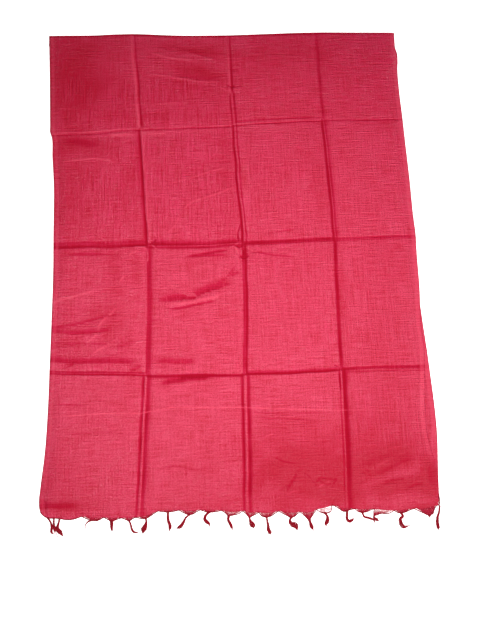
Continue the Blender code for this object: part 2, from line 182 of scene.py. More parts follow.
# Twisted strands: widths where they start and at their widest, how far along that is, and the
# route from the knot to the tip.
Strand = namedtuple("Strand", "start widest place route")
STRANDS = read_rows(Strand, (
    (3.4, 4.9, 0.8, (-347.2, -481.5), (-342, -490), (-340.4, -498.8), (-340.6, -506.3),
     (-336, -510.1)),
    (3.4, 6.2, 0.8, (-336.5, -482.4), (-336.9, -490.1), (-336.1, -497.4), (-334, -506.4)),
    (3.4, 8.7, 0.7, (-326.5, -483.3), (-329.1, -493.7), (-330.6, -500), (-324.9, -507.4),
     (-319.8, -514.8)),
    (3.4, 3.4, 0.3, (-260.7, -488.8), (-272, -489), (-277.4, -491.2), (-280.7, -495.6),
     (-281.9, -505)),
    (6.9, 4.9, 0.9, (-234.8, -491), (-235.1, -497.9), (-234.4, -508.2)),
    (3.4, 4.4, 0.6, (-203.7, -491.9), (-201.1, -499.7), (-199.4, -506.5), (-196.6, -510.9),
     (-191, -512.5), (-185.5, -514.2)),
    (3.4, 10.5, 0.7, (-174.5, -489), (-174, -496.5), (-175.7, -501.6), (-178.6, -507.6),
     (-180.4, -515.5)),
    (4.6, 6.2, 0.8, (-135.4, -479.1), (-135.5, -487.9), (-134.6, -495.7), (-132.2, -501.7),
     (-133.5, -512.5)),
    (3.4, 6.7, 0.8, (-97.1, -485.2), (-103.8, -490.4), (-108.1, -497.8), (-112.4, -504),
     (-121.2, -508.8)),
    (4.4, 6.7, 0.65, (-62.5, -482.4), (-68.8, -488.4), (-70.3, -493.7), (-67.4, -498.5),
     (-62.6, -502.8), (-62.4, -508.7)),
    (4.8, 5.5, 0.75, (-27.7, -490), (-28.6, -496.7), (-25, -504.5), (-21.3, -514.8)),
    (3.4, 10.8, 0.68, (9.4, -493.9), (10.4, -500.5), (14.2, -507.6), (16.7, -514)),
    (3.7, 7.6, 0.9, (39.7, -494.7), (41.3, -506), (42.5, -517.1), (45.7, -525.2)),
    (4, 11.6, 0.62, (83.7, -496.9), (80.6, -503.9), (83.8, -508.2), (90.7, -511.9), (93.4, -521.5)),
    (4.4, 6.9, 0.6, (115.8, -502.1), (117.6, -509.8), (122.1, -521.8)),
    (4, 8.2, 0.65, (144.5, -492.1), (148.1, -497.6), (147.6, -505.4), (144.5, -511.9),
     (146.2, -516)),
    (4.8, 5.8, 0.75, (184, -489.8), (183.5, -496.7), (183, -503.2), (186.1, -507.5), (192, -505.9),
     (195.7, -501.4)),
    (3.7, 4.4, 0.5, (211.3, -493.3), (213.6, -500.2), (222, -503.3), (230.8, -507.4),
     (232.9, -516.9)),
    (3.4, 5.8, 0.8, (232.3, -498.3), (231.3, -501.9), (239.5, -509)),
    (4.6, 8.2, 0.62, (281, -496.8), (283.2, -502.5), (278.5, -507.2), (278.9, -514.9),
     (283.5, -521.3), (289, -520.3), (294.1, -519.6)),
    (5.2, 5.5, 0.4, (331.3, -502.1), (331.1, -504), (330.9, -506.4)),
))
CORNER_STRAND = Strand(3.4, 6.7, 0.88, (
    (351.4, -486.4), (349.3, -497.2), (345.3, -507.7), (344.4, -516.5), (345.5, -529),
))
# Thin loose wisps beside the strands.
WISPS = (
    ((-331.5, -508), (-330.4, -511.7), (-325, -519.6)),
    ((-202, -496.5), (-206.6, -503.5), (-206.8, -509.5), (-202.2, -513.4)),
    ((41.4, -504), (44.5, -506.2), (51, -504.8), (62.1, -500.8)),
    ((87.8, -509), (93.5, -509.2), (99.5, -517.4)),
    ((115.6, -501), (112, -507.4), (112.8, -511.9), (117.3, -515.7)),
    ((147.6, -496.5), (151.8, -503.9), (149.9, -510.4)),
    ((-336.4, -499.5), (-334.7, -508.4), (-328.4, -502.8), (-325, -507.5)),
    ((291.7, -519.8), (296.6, -519.6)),
)

# ---------------------------------------------------------------- relief of the upper half
CLOTH = 0.5            # thickness of the shell at its edges
BACK_THICKNESS = 0.95  # least height of the lower half
UPPER = 2.7            # top of the upper layer where it is pressed down
LIFT = 2.4             # how far it stands off between creases
FOLD_LIFT = 1.0        # what is left of the lift at the folded edge
FOLD_SETTLE = 60       # length over which the cloth comes down to the folded edge
SELVEDGE_SETTLE = 26   # width over which it comes down at its other edges
FLAP_END = 464         # y at which the turned-under cloth meets the lower half
FLAP_ROWS = (0, 0.35, 0.7, 0.9)  # how far the rows of the turned-under cloth are to the fold
FOLD_Y = 488           # the folded edge, where the threads turn under
TURN_STEPS = 8
FOLD_SHADE = 1.6       # how dark the painted shade is round the folded edge

# Packing creases as sums of bells across the line: positive heights are ridges and negative
# ones troughs. centre is how far it lies from the line, towards +X or +Y, and below and above
# are its half widths on the two sides. Each row holds between two stations.
Bell = namedtuple("Bell", "line start end centre height below above")
LENGTHWISE_BELLS = [Bell(*row) for row in (
    (1, 0, 1, -1.5, 1.6, 2.6, 3.6),
    (1, 0, 1, 5, -1.9, 1.5, 2.8),
    (1, 1, 2, 0, -2.6, 3.2, 1.6),
    (1, 1, 2, -6, -0.5, 5, 5),
    (1, 1, 2, 3.8, 0.9, 1.5, 5),
    (1, 2, 3, -5.5, 0.4, 3, 2),
    (1, 2, 3, 0.4, -1.5, 2.1, 2),
    (1, 2, 3, 4.2, -1.6, 2.2, 4.6),
    (1, 3, 4, -4.4, -2.1, 3, 2.2),
    (1, 3, 4, -0.4, 0.7, 1.4, 1.5),
    (1, 3, 4, 3.8, -2.1, 2.6, 5.6),
    (2, 0, 0.66, -2.2, 1.1, 2.4, 1.6),
    (2, 0, 0.66, 2.6, -2.2, 1.8, 2.2),
    (2, 0.66, 1, -2, -1.9, 2, 1.6),
    (2, 0.66, 1, 1.6, 0.8, 1.4, 1.4),
    (2, 0.66, 1, 5.4, -2.2, 1.8, 2.2),
    (2, 1, 2, -0.9, -3, 2, 2),
    (2, 1, 2, 3.4, 0.9, 1.4, 1.3),
    (2, 1, 2, 6.2, -1.6, 1.6, 1.6),
    (2, 1, 2, 10, 0.4, 2, 4),
    (2, 2, 3, -1.7, -1.8, 2, 1.9),
    (2, 2, 3, 3.1, -2.7, 2.2, 2.4),
    (2, 3, 4, -4.4, -2.1, 3.4, 2),
    (2, 3, 4, 0.4, 0.9, 1.5, 1.5),
    (2, 3, 4, 5, -2.2, 2.6, 4.4),
    (3, 0, 1, 1.4, -1.5, 3.6, 3.2),
    (3, 1, 2, -1.4, -2.8, 3.2, 1.7),
    (3, 1, 2, 3.6, -1.6, 1.6, 2.4),
    (3, 1, 2, 8.2, -0.5, 2, 2.4),
    (3, 2, 3, 0.2, -2.5, 3.1, 3.6),
    (3, 3, 4, -3.9, -1.3, 1.8, 1.4),
    (3, 3, 4, -1, 0.8, 1.2, 1.2),
    (3, 3, 4, 2.6, -2.6, 2.2, 4.4),
    (3, 3, 4, 6.5, -1, 2.4, 5),
)]
CROSSWISE_BELLS = [Bell(*row) for row in (
    (0, 0, 4, -1.6, -2.6, 3, 2.6),
    (1, 0, 1, -0.4, 1.2, 2.2, 2),
    (1, 0, 1, -5.4, -0.9, 1.6, 1.8),
    (1, 0, 1, -10.8, 0.4, 3, 3),
    (1, 1, 2, -1.8, 0.9, 1.5, 2.2),
    (1, 1, 2, -5.7, -1.5, 1.6, 1.4),
    (1, 1, 2, -10.8, 0.4, 3, 3),
    (1, 2, 3, 0.2, 0.7, 1.5, 1.5),
    (1, 2, 3, -3.6, -1.6, 1.6, 1.5),
    (1, 2, 3, 4.8, -0.8, 1.6, 3),
    (1, 3, 4, -3, -1.4, 1.8, 1.7),
    (1, 3, 4, 0.8, 0.2, 1.5, 1.5),
    (2, 0, 1, 1, -2.5, 3.7, 2.8),
    (2, 0, 1, 7.2, -1.1, 3, 4.4),
    (2, 1, 2, -3, -1.8, 3.2, 1.8),
    (2, 1, 2, 2.6, -2.5, 2.2, 6.4),
    (2, 2, 3, -1.3, -1.9, 2.6, 2.4),
    (2, 2, 3, 2.4, -1.9, 2.2, 2.6),
    (2, 3, 4, -3.4, -0.9, 1.6, 2),
    (2, 3, 4, 0.8, -1.4, 2, 2.2),
    (3, 0, 1, -1.9, -2.2, 1.8, 1.5),
    (3, 0, 1, 2.2, -1.7, 1.5, 1.7),
    (3, 1, 2, -2.8, -2.6, 3.4, 2.3),
    (3, 1, 2, 8.2, 0.4, 3, 3),
    (3, 2, 3, -1.3, -3.7, 1.9, 2),
    (3, 2, 3, 2.8, -0.9, 2, 2),
    (3, 3, 4, 0.2, -1.7, 3.6, 2.4),
    (3, 3, 4, -7.3, -0.8, 2, 2),
)]
CREASE_RELIEF = 0.42   # how much of a crease's depth is in the surface, the rest painted as shade and highlight in its colour
CREASE_SHADING = 0.8      # how much of its depth a crease shows as painted shade in troughs and painted highlight on ridges
LOW_SHADE = 0.25        # how much painted shade darkens the cloth where it lies lower than all round it, and how many grid points round it that is
LOW_REACH = 6          # and how many grid points round it that is
GROOVE_POWER = 2.2     # how flat the bottom of a trough is, and the top of a ridge
RIDGE_POWER = 1.3
SOFT_WIDTH = 4.5       # a flank wider than this falls away softly
CREASE_WANDER = 0.9    # how far a crease strays from its line, and over what length
WANDER_LENGTH = 34
CREASE_UNEVEN = 0.30   # how much its height varies, and over what length
UNEVEN_LENGTH = 27
ROW_BLEND = 0.06       # stations over which one row of a crease gives way to the next
ENDS_FLATTER = 0.45    # share of the lengthwise creases lost towards the hem and the fold
ENDS = (0.4, 3.7)      # stations where that starts
PINCHED = 0.75         # share of a crease's height that is left where two cross
PINCHED_WIDTH = 0.4    # how much of a crease's width doesn't change with that
PINCH_REACH = 0.05     # in stations
UNDER_WIDTH = 4        # half width of the creases on the underside, and their depth
GROOVE = 0.6
BACK_WANDER = 1.5      # how far the lower half's creases stray, and over what length
BACK_WANDER_LENGTH = 60
BACK_RIPPLE = 0.12     # its uneven lift, and over what width it starts at the selvedges
BACK_EDGE = 8

# Soft folds and wrinkles between the creases: height, half widths on the right and on the left
# of the path, the share of its length over which it fades at each end, and the path.
Wrinkle = namedtuple("Wrinkle", "height right left fade path")
WRINKLES = read_rows(Wrinkle, (
    (-1.3, 2.4, 13, 0.3, (-165, -92), (-137, -89), (-102, -88), (-80, -87), (-64, -78), (-48, -72),
     (-28, -65), (-8, -60), (11, -58)),
    (1.3, 4, 3, 0.2, (-131, -97), (-102, -94), (-75, -91), (-48, -86), (-21, -77)),
    (-1.1, 3.5, 3.1, 0.25, (-139, -105), (-107, -105), (-75, -98), (-49, -93), (-27, -91)),
    (-0.8, 3, 4.4, 0.3, (-11, -45), (12, -34)),
    (-1.6, 1.5, 2.6, 0.2, (-96, -3), (-62, 2), (-37, 6), (-5, 10)),
    (1, 2, 2.2, 0.3, (-209, -33), (-222, -54)),
    (1, 2, 3.5, 0.2, (-362, -92), (-340, -84), (-307, -75), (-279, -68), (-254, -62)),
    (-0.6, 2, 3.1, 0.2, (-340, 6), (-295, 7), (-249, 4)),
    (-0.8, 1.8, 4.4, 0.15, (-368, -138), (-346, -135), (-307, -131), (-273, -124), (-244, -116),
     (-210, -112)),
    (-1, 2.2, 8.1, 0.2, (-362, -140), (-339, -143), (-307, -148), (-264, -147), (-225, -141)),
    (1.2, 2.2, 2.6, 0.2, (-221, -94), (-233, -108), (-254, -126), (-261, -140), (-262, -150),
     (-274, -160), (-287, -169)),
    (-0.8, 1.8, 2.5, 0.2, (-362, -162), (-338, -164), (-287, -167), (-244, -170), (-209, -154)),
    (-0.6, 1.8, 2.2, 0.25, (-360, -170), (-339, -171), (-323, -173), (-308, -171), (-281, -166)),
    (1.1, 2, 2.4, 0.25, (-278, -194), (-261, -181), (-243, -172), (-222, -158), (-210, -148)),
    (-0.6, 6, 9, 0.35, (-236, -182), (-206, -171), (-184, -164)),
    (-1.2, 3, 9, 0.18, (-385, -195), (-340, -198), (-306, -203), (-278, -203), (-244, -204),
     (-202, -206), (-175, -201)),
    (-0.7, 2, 2.8, 0.3, (-326, -215), (-315, -210), (-300, -204)),
    (-0.7, 4, 5, 0.3, (-206, -222), (-190, -218), (-175, -210)),
    (-0.8, 4, 9.8, 0.3, (-170, -206), (-136, -207), (-99, -210), (-62, -209)),
    (-1.6, 6, 5, 0.25, (-153, -250), (-124, -243), (-90, -239), (-44, -238)),
    (-0.7, 1.8, 2.2, 0.2, (-342, -280), (-310, -282), (-276, -285)),
    (0.9, 2.2, 3.5, 0.25, (-341, 201), (-306, 205), (-270, 208), (-243, 204), (-212, 194)),
    (-0.8, 9, 11.4, 0.3, (-344, 251), (-297, 245), (-249, 233)),
    (0.9, 5, 4, 0.3, (-248, 258), (-210, 260), (-186, 261)),
    (0.9, 5, 4, 0.3, (-170, 260), (-148, 260), (-118, 260)),
    (0.9, 2, 2.2, 0.2, (-133, 149), (-86, 159), (-41, 174), (5, 186)),
    (1, 2, 2.2, 0.2, (-103, 89), (-79, 111), (-34, 124), (14, 142)),
    (0.7, 2, 2.4, 0.25, (-140, 38), (-114, 59), (-98, 90)),
    (0.6, 2, 2, 0.2, (-143, 219), (-69, 216), (3, 210)),
    (0.8, 2.2, 3, 0.2, (-166, 444), (-111, 427), (-54, 421)),
    (-0.6, 1.6, 2.2, 0.15, (15, -309), (91, -311), (177, -314)),
    (-0.6, 1.6, 2.2, 0.2, (17, -317), (81, -321), (145, -328)),
    (-0.92, 1.1, 1.5, 0.25, (126, -443), (139, -429), (168, -435)),
    (-0.92, 1.1, 1.5, 0.25, (171, -430), (157, -449)),
    (-0.78, 1.1, 1.5, 0.25, (102, -418), (88, -437), (75, -458)),
    (0.8, 2, 2.2, 0.3, (64, -345), (38, -355)),
    (-0.46, 7, 10, 0.3, (197, -417), (259, -399), (324, -387)),
    (-0.39, 3.4, 6.6, 0.3, (244, -448), (268, -440), (295, -437)),
    (-0.6, 5, 9.8, 0.3, (333, -405), (338, -431), (336, -459)),
    (0.45, 4, 3, 0.3, (236, -389), (279, -380), (333, -371)),
    (-0.7, 1.8, 2.5, 0.25, (56, 40), (91, 44), (130, 49)),
    (-0.8, 1.8, 2.8, 0.2, (25, 3), (46, 3), (73, -4), (123, -10)),
    (-1.1, 5, 8, 0.3, (-372, -459), (-330, -463), (-285, -464)),
    (-1.2, 2.2, 2.6, 0.25, (8, -4), (19, -9), (32, -2)),
    (0.9, 2, 2, 0.25, (6, 15), (8, 6), (10, -4)),
    (-1.1, 1.8, 1.8, 0.25, (18, 11), (20, -5)),
    (0.8, 1.8, 1.8, 0.25, (-9, 14), (5, 20), (15, 29)),
    (-0.9, 1.8, 1.8, 0.3, (-4, 400), (26, 399)),
    (-1.1, 2, 2, 0.3, (-1, 365), (14, 353)),
    (0.9, 2, 2, 0.3, (-20, 361), (0, 353)),
    (-0.8, 1.8, 1.8, 0.3, (11, 357), (32, 364)),
    (-0.5, 4, 9, 0.25, (-156, 458), (-94, 446), (-9, 423)),
    (0.8, 2, 2.2, 0.2, (-129, 458), (-70, 438), (-11, 415)),
    (-0.5, 3, 9, 0.25, (-112, 390), (-55, 379), (2, 374)),
    (0.9, 2.2, 2.6, 0.2, (-175, 395), (-116, 385), (-59, 373), (2, 368)),
    (0.6, 1.8, 1.8, 0.2, (-206, 324), (-147, 325), (-82, 328)),
    (0.6, 1.8, 1.8, 0.25, (-344, 320), (-306, 318)),
    (-0.7, 1.8, 2, 0.3, (-346, 183), (-335, 183)),
    (-0.7, 1.8, 2, 0.3, (-346, 169), (-333, 169)),
    (-0.7, 1.8, 2, 0.3, (-345, 87), (-330, 88)),
    (0.7, 1.8, 2, 0.3, (-346, 176), (-333, 176)),
    (-0.8, 1.8, 1.8, 0.25, (-163, 24), (-155, 30), (-147, 36)),
    (0.8, 1.8, 1.8, 0.25, (-146, 14), (-157, 24), (-163, 34)),
    (0.6, 1.8, 2.2, 0.3, (22, -426), (33, -414), (49, -410), (63, -418)),
    (-0.65, 1.1, 1.5, 0.3, (61, -455), (77, -441), (98, -437)),
    (0.5, 1.8, 2.2, 0.3, (70, -463), (87, -453), (103, -450)),
    (-0.78, 1.1, 1.5, 0.25, (129, -430), (153, -444), (172, -427)),
    (0.8, 1.8, 2.4, 0.25, (130, -449), (145, -441), (160, -436)),
    (0.5, 1.8, 2.2, 0.3, (20, -374), (35, -369), (50, -380)),
    (-0.65, 1.1, 1.5, 0.3, (104, -415), (119, -426), (131, -444), (133, -458)),
    (-0.92, 1.3, 1.8, 0.3, (51, -386), (75, -399), (104, -404)),
    (0.6, 3, 7, 0.3, (221, -416), (242, -414), (285, -393), (332, -382)),
    (-0.55, 4, 6, 0.3, (226, -426), (252, -424), (291, -406), (331, -396)),
    (-0.53, 2, 3.4, 0.3, (232, -448), (269, -439), (305, -435), (336, -416)),
    (0.45, 2.4, 4, 0.3, (196, -436), (222, -433), (254, -435)),
    (-0.8, 2, 3.4, 0.3, (285, -460), (308, -449), (333, -445)),
    (0.5, 1.8, 2.2, 0.3, (55, 71), (93, 88), (121, 92), (162, 84)),
    (0.5, 1.8, 2.2, 0.3, (75, 42), (103, 55), (129, 57)),
    (0.4, 1.8, 2.2, 0.3, (219, 146), (285, 147), (349, 153)),
    (0.5, 1.8, 2, 0.25, (-74, 276), (-63, 291), (-45, 315), (-20, 329)),
    (0.5, 1.8, 2, 0.25, (-39, 287), (-16, 317), (-2, 327)),
    (0.35, 4, 8, 0.3, (-138, -3), (-135, -32), (-121, -58), (-98, -76), (-70, -84), (-40, -78)),
    (-0.8, 1.8, 2.2, 0.25, (-40, -61), (-15, -46), (7, -16)),
    (-1, 3, 3, 0.25, (-100, -2), (-56, -1), (-2, 0)),
    (0.8, 2, 3, 0.3, (-205, -1), (-194, 10), (-176, 13)),
    (-0.8, 2, 3, 0.3, (-337, 12), (-272, 9), (-203, 3)),
    (0.6, 1.8, 2.2, 0.3, (-339, -88), (-332, -77), (-320, -70)),
    (-0.6, 1.8, 2.2, 0.3, (-163, -128), (-144, -126), (-133, -131)),
    (0.5, 1.8, 2.2, 0.3, (-329, -253), (-256, -260), (-205, -263)),
    (-0.5, 1.8, 2.4, 0.3, (-335, -337), (-274, -334), (-201, -335)),
    (0.5, 1.8, 2.4, 0.3, (-147, -352), (-93, -348), (-24, -358)),
    (-0.6, 1.8, 2.4, 0.3, (-162, -405), (-121, -399), (-84, -408), (-37, -402)),
    (0.6, 1.8, 2.4, 0.3, (-327, -413), (-273, -408), (-220, -417)),
    (1.1, 1.8, 1.8, 0.12, (-194, 21), (-182, 21), (-174, 20), (-168, 17), (-166, 11), (-165, 2),
     (-166, -12)),
    (-1.5, 1.6, 1.6, 0.2, (16, 66), (12, 53), (9, 43), (9, 34), (11, 26)),
    (-1.5, 1.6, 1.6, 0.2, (17, 58), (18, 45), (17, 33), (15, 26)),
    (1.2, 1.4, 1.4, 0.25, (14, 51), (13, 32)),
    (-0.8, 1.6, 1.8, 0.25, (23, 56), (28, 37), (30, 27)),
    (1.1, 1.6, 1.6, 0.25, (-5, 18), (5, 13), (8, 3)),
    (-1.5, 1.6, 1.6, 0.2, (4, 18), (11, 14), (20, 18)),
    (-1.5, 1.6, 1.6, 0.2, (9, -1), (16, -7), (23, -5), (29, 0)),
    (0.9, 1.5, 1.5, 0.25, (3, 2), (8, -9), (12, -19)),
    (0.9, 1.6, 1.6, 0.25, (24, 14), (31, 10), (43, 6)),
    (-1.6, 1.6, 2.4, 0.25, (-5, 366), (8, 360), (19, 362)),
    (1, 1.6, 1.6, 0.25, (9, 354), (19, 354), (31, 354)),
    (-1, 1.6, 1.6, 0.25, (9, 400), (21, 399), (29, 400)),
    (-1.2, 1.5, 1.5, 0.25, (178, -224), (187, -226)),
    (1, 1.4, 1.4, 0.25, (183, -231), (189, -234)),
    (-1.3, 1.6, 1.6, 0.25, (187, -234), (187, -252), (188, -276)),
    (-0.86, 1.1, 1.4, 0.25, (74, -457), (85, -437), (101, -414)),
    (-0.59, 1.1, 2.2, 0.25, (13, -427), (29, -415), (51, -411), (60, -413)),
    (-0.78, 1.1, 1.5, 0.25, (211, -428), (231, -418)),
    (-0.72, 1.1, 1.5, 0.25, (212, -442), (226, -434)),
    (-0.53, 1.2, 2, 0.25, (15, -458), (56, -465), (110, -463)),
))
WRINKLE_POWER = 1.6
WRINKLE_RELIEF = 0.5   # how much of a wrinkle's depth is in the surface
WRINKLE_SHADING = 0.35    # how much of its depth a wrinkle shows as painted shade and painted highlight in its colour
FAR_OFF = 6.0          # wrinkle half widths past which nothing shows
FAR_AWAY = 200.0       # a distance in mm at which no line shows
# Uneven lift all over: height, size across, size along.
WAVES = ((0.50, 95, 120), (0.28, 42, 80), (0.14, 19, 34))
PILLOW = 0.8           # how far each panel sinks towards its creases, and over what distance
PILLOW_WIDTH = 24
PRESSED = 0.25         # share of the uneven lift that is left at the edges
EDGE_DROOP = 1.2       # how far the edge sinks where no lower layer holds it up
DROOP_REACH = 6
HEM_DROOP = 0.96       # how far the hem sinks, and over what length
HEM_DROOP_REACH = 9
SMOOTH_FLOOR = 0.35    # height under which the lift levels out instead of passing 0

# Where fine gathers run across the folds: half width, strength and path.
Gather = namedtuple("Gather", "half_width strength path")
GATHERS = read_rows(Gather, (
    (10, 0.9, (-345, 31), (-160, 31), (19, 31), (196, 33), (354, 34)),
    (9, 1, (-137, -85), (-102, -88), (-80, -87), (-48, -72), (11, -58)),
    (8, 1, (-340, -195), (-278, -200), (-202, -203), (-175, -198)),
    (9, 1, (-136, -205), (-62, -207)),
    (9, 0.9, (-153, -250), (-90, -238), (-44, -236)),
    (8, 0.5, (-345, -222), (-170, -229), (12, -230), (190, -230), (350, -229)),
    (9, 0.6, (-345, -195), (-183, -205)),
    (8, 0.4, (-350, 276), (-180, 281), (9, 284), (190, 290), (350, 289)),
))
# One pale weft runs all the way across.
WEFT_LINE = (
    (-343, -303), (-316, -302), (-271, -301), (-253, -300), (-182, -302), (-161, -298),
    (-128, -293), (1, -297), (92, -304), (176, -308), (285, -313), (335, -314),
)
RAGGED = 0.3           # how uneven a patch's edge is, as a share of its half size
# Patches where the cloth is darker, partly deeper dye and partly painted shade (the dark top-left
# and bands beside creases), or paler where strength is negative, as painted highlight beside
# creases and wrinkles: middle, half sizes across and along, slant, and strength.
Patch = namedtuple("Patch", "x y across along slant strength")
DYE_AND_SHADE_PATCHES = [Patch(*row) for row in (
    (190, -425, 200, 80, 0, 0.8),
    (92, -385, 80, 70, -0.2, 0.5),
    (120, -440, 85, 36, 0, 0.3),
    (262, -405, 85, 28, 0.35, 0.35),
    (285, -448, 60, 16, 0.15, 0.35),
    (336, -430, 16, 45, 0, 0.75),
    (326, -492, 26, 9, 0, 0.8),
    (180, -470, 170, 14, 0, 0.25),
    (275, -280, 90, 120, 0, 0.3),
    (-318, -464, 60, 10, 0, 0.85),
    (-320, -425, 40, 50, 0, 0.3),
    (-110, -470, 130, 14, 0, 0.2),
    (-310, 400, 80, 130, 0, 0.95),
    (-90, 390, 120, 110, 0, 0.25),
    (160, 400, 160, 100, 0, 0.25),
    (-300, 238, 75, 20, -0.15, 0.45),
    (-320, 130, 60, 110, 0, 0.45),
    (-62, 443, 64, 11, -0.15, 0.75),
    (85, 435, 80, 22, 0, 0.35),
    (-50, 394, 54, 14, -0.22, 0.7),
    (-226, -20, 14, 60, 0, 0.45),
    (-238, -125, 26, 48, 0.1, 0.5),
    (-189, -15, 9, 50, 0, 0.4),
    (200, -100, 10, 125, 0, 0.35),
    (196, 400, 8, 80, 0, 0.25),
    (-290, -110, 60, 10, 0.1, 0.2),
    (-150, 180, 20, 60, 0, 0.15),
    (-192, 120, 20, 80, 0, 0.35),
    (-8, 170, 16, 90, 0, 0.35),
    (176, 140, 20, 95, 0, 0.3),
    (-180, 296, 170, 12, 0, 0.25),
    (120, 300, 200, 12, 0, 0.2),
    (290, -60, 70, 120, 0, 0.15),
    (-90, 262, 110, 8, 0, -0.35),
    (-212, 256, 55, 7, 0, -0.4),
    (95, 266, 90, 8, 0, -0.25),
    (-160, 150, 7, 100, 0, -0.3),
    (28, 150, 7, 100, 0, -0.3),
    (-100, 476, 90, 5, 0, -0.35),
    (-80, 434, 60, 6, -0.2, -0.3),
    (248, -395, 46, 9, 0.55, 0.4),
    (281, -393, 50, 8, 0.45, 0.3),
    (262, -446, 26, 7, 0.2, 0.45),
    (305, -445, 34, 8, 0.35, 0.25),
    (341, -436, 10, 26, -0.1, 0.6),
    (330, -456, 12, 12, 0, 0.45),
    (322, -495, 16, 6, 0, 0.9),
    (269, -429, 46, 9, 0.3, -0.45),
    (307, -424, 40, 9, 0.4, -0.35),
    (279, -470, 70, 8, 0.05, -0.35),
    (223, -452, 20, 12, 0, -0.35),
    (333, -385, 18, 40, -0.15, -0.3),
)]
# Patches where the lengthwise threads show more than the crosswise ones.
WARP_PATCHES = [Patch(*row) for row in (
    (-270, 330, 110, 70, 0, 1),
    (-90, 335, 100, 60, 0, 1),
    (-75, 150, 110, 130, 0, 1.1),
    (-260, 120, 90, 110, 0, 0.7),
    (100, 150, 90, 110, 0, 0.4),
    (105, -90, 100, 130, 0, 0.45),
    (270, -110, 90, 130, 0, 0.4),
    (265, -340, 90, 90, 0, 0.7),
)]

# ---------------------------------------------------------------- sizes of the threads
HEM_HEIGHT = 1.55      # middle of the cloth's edge at the hem
KNOT_HEIGHT = 1.45
STRAND_HEIGHT = 1.9
FIBRES = 10
FIBRE = 0.78
FULLNESS = 1.13        # a strand of soft fibres is wider than its wound core
TWIST = 11.0           # mm for one turn of a strand
KNOT_TURNS = 3
HAIRS = 7              # frayed hairs at a tip
WARP_SPACING = 1.5
WARP = 0.32            # radii of the loose warps and wefts, and of the hem's cord at a peak
WEFT = 0.26
CORD = 0.7
CORD_TURN = 0.3        # how far the cord's two threads are from its middle
WEFT_ROWS = 7
# The lower half's fringe.
BACK_FANS = 21
BACK_WARPS = 12
BACK_KNOT_DROP = 8
BACK_STRAND = 22       # length of a strand, and how far down the strands reach
BACK_REACH = -474
BACK_HEM_HEIGHT = 0.72


# ---------------------------------------------------------------- curves, noise and grids
LATTICE = 64           # random values along a side of the lattice that noise is read from


def bell(distance, below, above, power=RIDGE_POWER):
    width = np.where(distance < 0, below, above)
    return np.exp(-(np.abs(distance) / width) ** power)


def settled(distance, over):
    t = np.clip(distance / over, 0.0, 1.0)
    return t * t * (3 - 2 * t)


def smooth_table(table, at):
    """Every value column of a table on a smooth curve, read at an array of stations."""
    table = np.array(table, float)
    stops, values = table[:, 0], table[:, 1:]
    slopes = np.gradient(values, stops, axis=0)
    k = np.clip(np.searchsorted(stops, at) - 1, 0, len(stops) - 2)
    span = (stops[k + 1] - stops[k])[:, None]
    t = (at - stops[k])[:, None] / span
    rise = values[k + 1] - values[k]
    start, end = slopes[k] * span, slopes[k + 1] * span
    bent = values[k] + t * start + t * t * (3 * rise - 2 * start - end)
    return bent + t ** 3 * (start + end - 2 * rise)


def between_lines(lines, at):
    """Values between neighbouring columns of lines, at stations 0 to 4: one row a line's row."""
    k = np.clip(np.floor(at).astype(int), 0, lines.shape[1] - 2)
    share = at - k
    return lines[:, k] * (1 - share) + lines[:, k + 1] * share


def lattice_noise(x, y, size_x, size_y, seed):
    """Smooth noise from -1 to 1, on a lattice of random values."""
    values = np.random.RandomState(seed).uniform(-1, 1, (LATTICE, LATTICE))
    gx, gy = x / size_x + 17.3, y / size_y + 29.7
    i, j = np.floor(gx).astype(int), np.floor(gy).astype(int)
    fx, fy = settled(gx - i, 1), settled(gy - j, 1)

    def corner(di, dj):
        return values[(i + di) % LATTICE, (j + dj) % LATTICE]

    low = corner(0, 0) * (1 - fx) + corner(1, 0) * fx
    high = corner(0, 1) * (1 - fx) + corner(1, 1) * fx
    return low * (1 - fy) + high * fy


def stations(count, dense):
    """Stations from 0 to 4, closer round each (place, half width, how many times closer)."""
    fine = np.linspace(0, 4, 8001)
    density = np.ones_like(fine)
    for place, half_width, factor in dense:
        density += (factor - 1) * np.exp(-(((fine - place) / half_width) ** 4))
    total = np.concatenate(([0], np.cumsum((density[1:] + density[:-1]) / 2)))
    return np.interp(np.linspace(0, total[-1], count), total, fine)


def blurred(values, reach):
    for axis in (0, 1, 0, 1):
        margins = [(reach, reach) if a == axis else (0, 0) for a in (0, 1)]
        padded = np.pad(values, margins, mode="edge")
        windows = np.lib.stride_tricks.sliding_window_view(padded, 2 * reach + 1, axis=axis)
        values = windows.mean(axis=-1)
    return values


def lowest_near(heights, reach):
    """The lowest value in a window round every grid point."""
    padded = np.pad(heights, reach, mode="edge")
    window = (2 * reach + 1, 2 * reach + 1)
    return np.lib.stride_tricks.sliding_window_view(padded, window).min(axis=(2, 3))


def path_distance(x, y, path):
    """Distance from a path, the side of it (positive on its left), and how far along, 0 to 1."""
    path = np.array(path, float)
    steps = np.diff(path, axis=0)
    lengths = np.hypot(*steps.T)
    passed = np.concatenate(([0], np.cumsum(lengths)))
    best = np.full(x.shape, 1e9)
    side = np.zeros(x.shape)
    along = np.zeros(x.shape)
    for (px, py), (sx, sy), length, before in zip(path, steps, lengths, passed):
        t = np.clip(((x - px) * sx + (y - py) * sy) / length ** 2, 0, 1)
        dx, dy = x - px - t * sx, y - py - t * sy
        distance = np.hypot(dx, dy)
        nearer = distance < best
        best = np.where(nearer, distance, best)
        side = np.where(nearer, sx * dy - sy * dx, side)
        along = np.where(nearer, (before + t * length) / passed[-1], along)
    return best, side, along


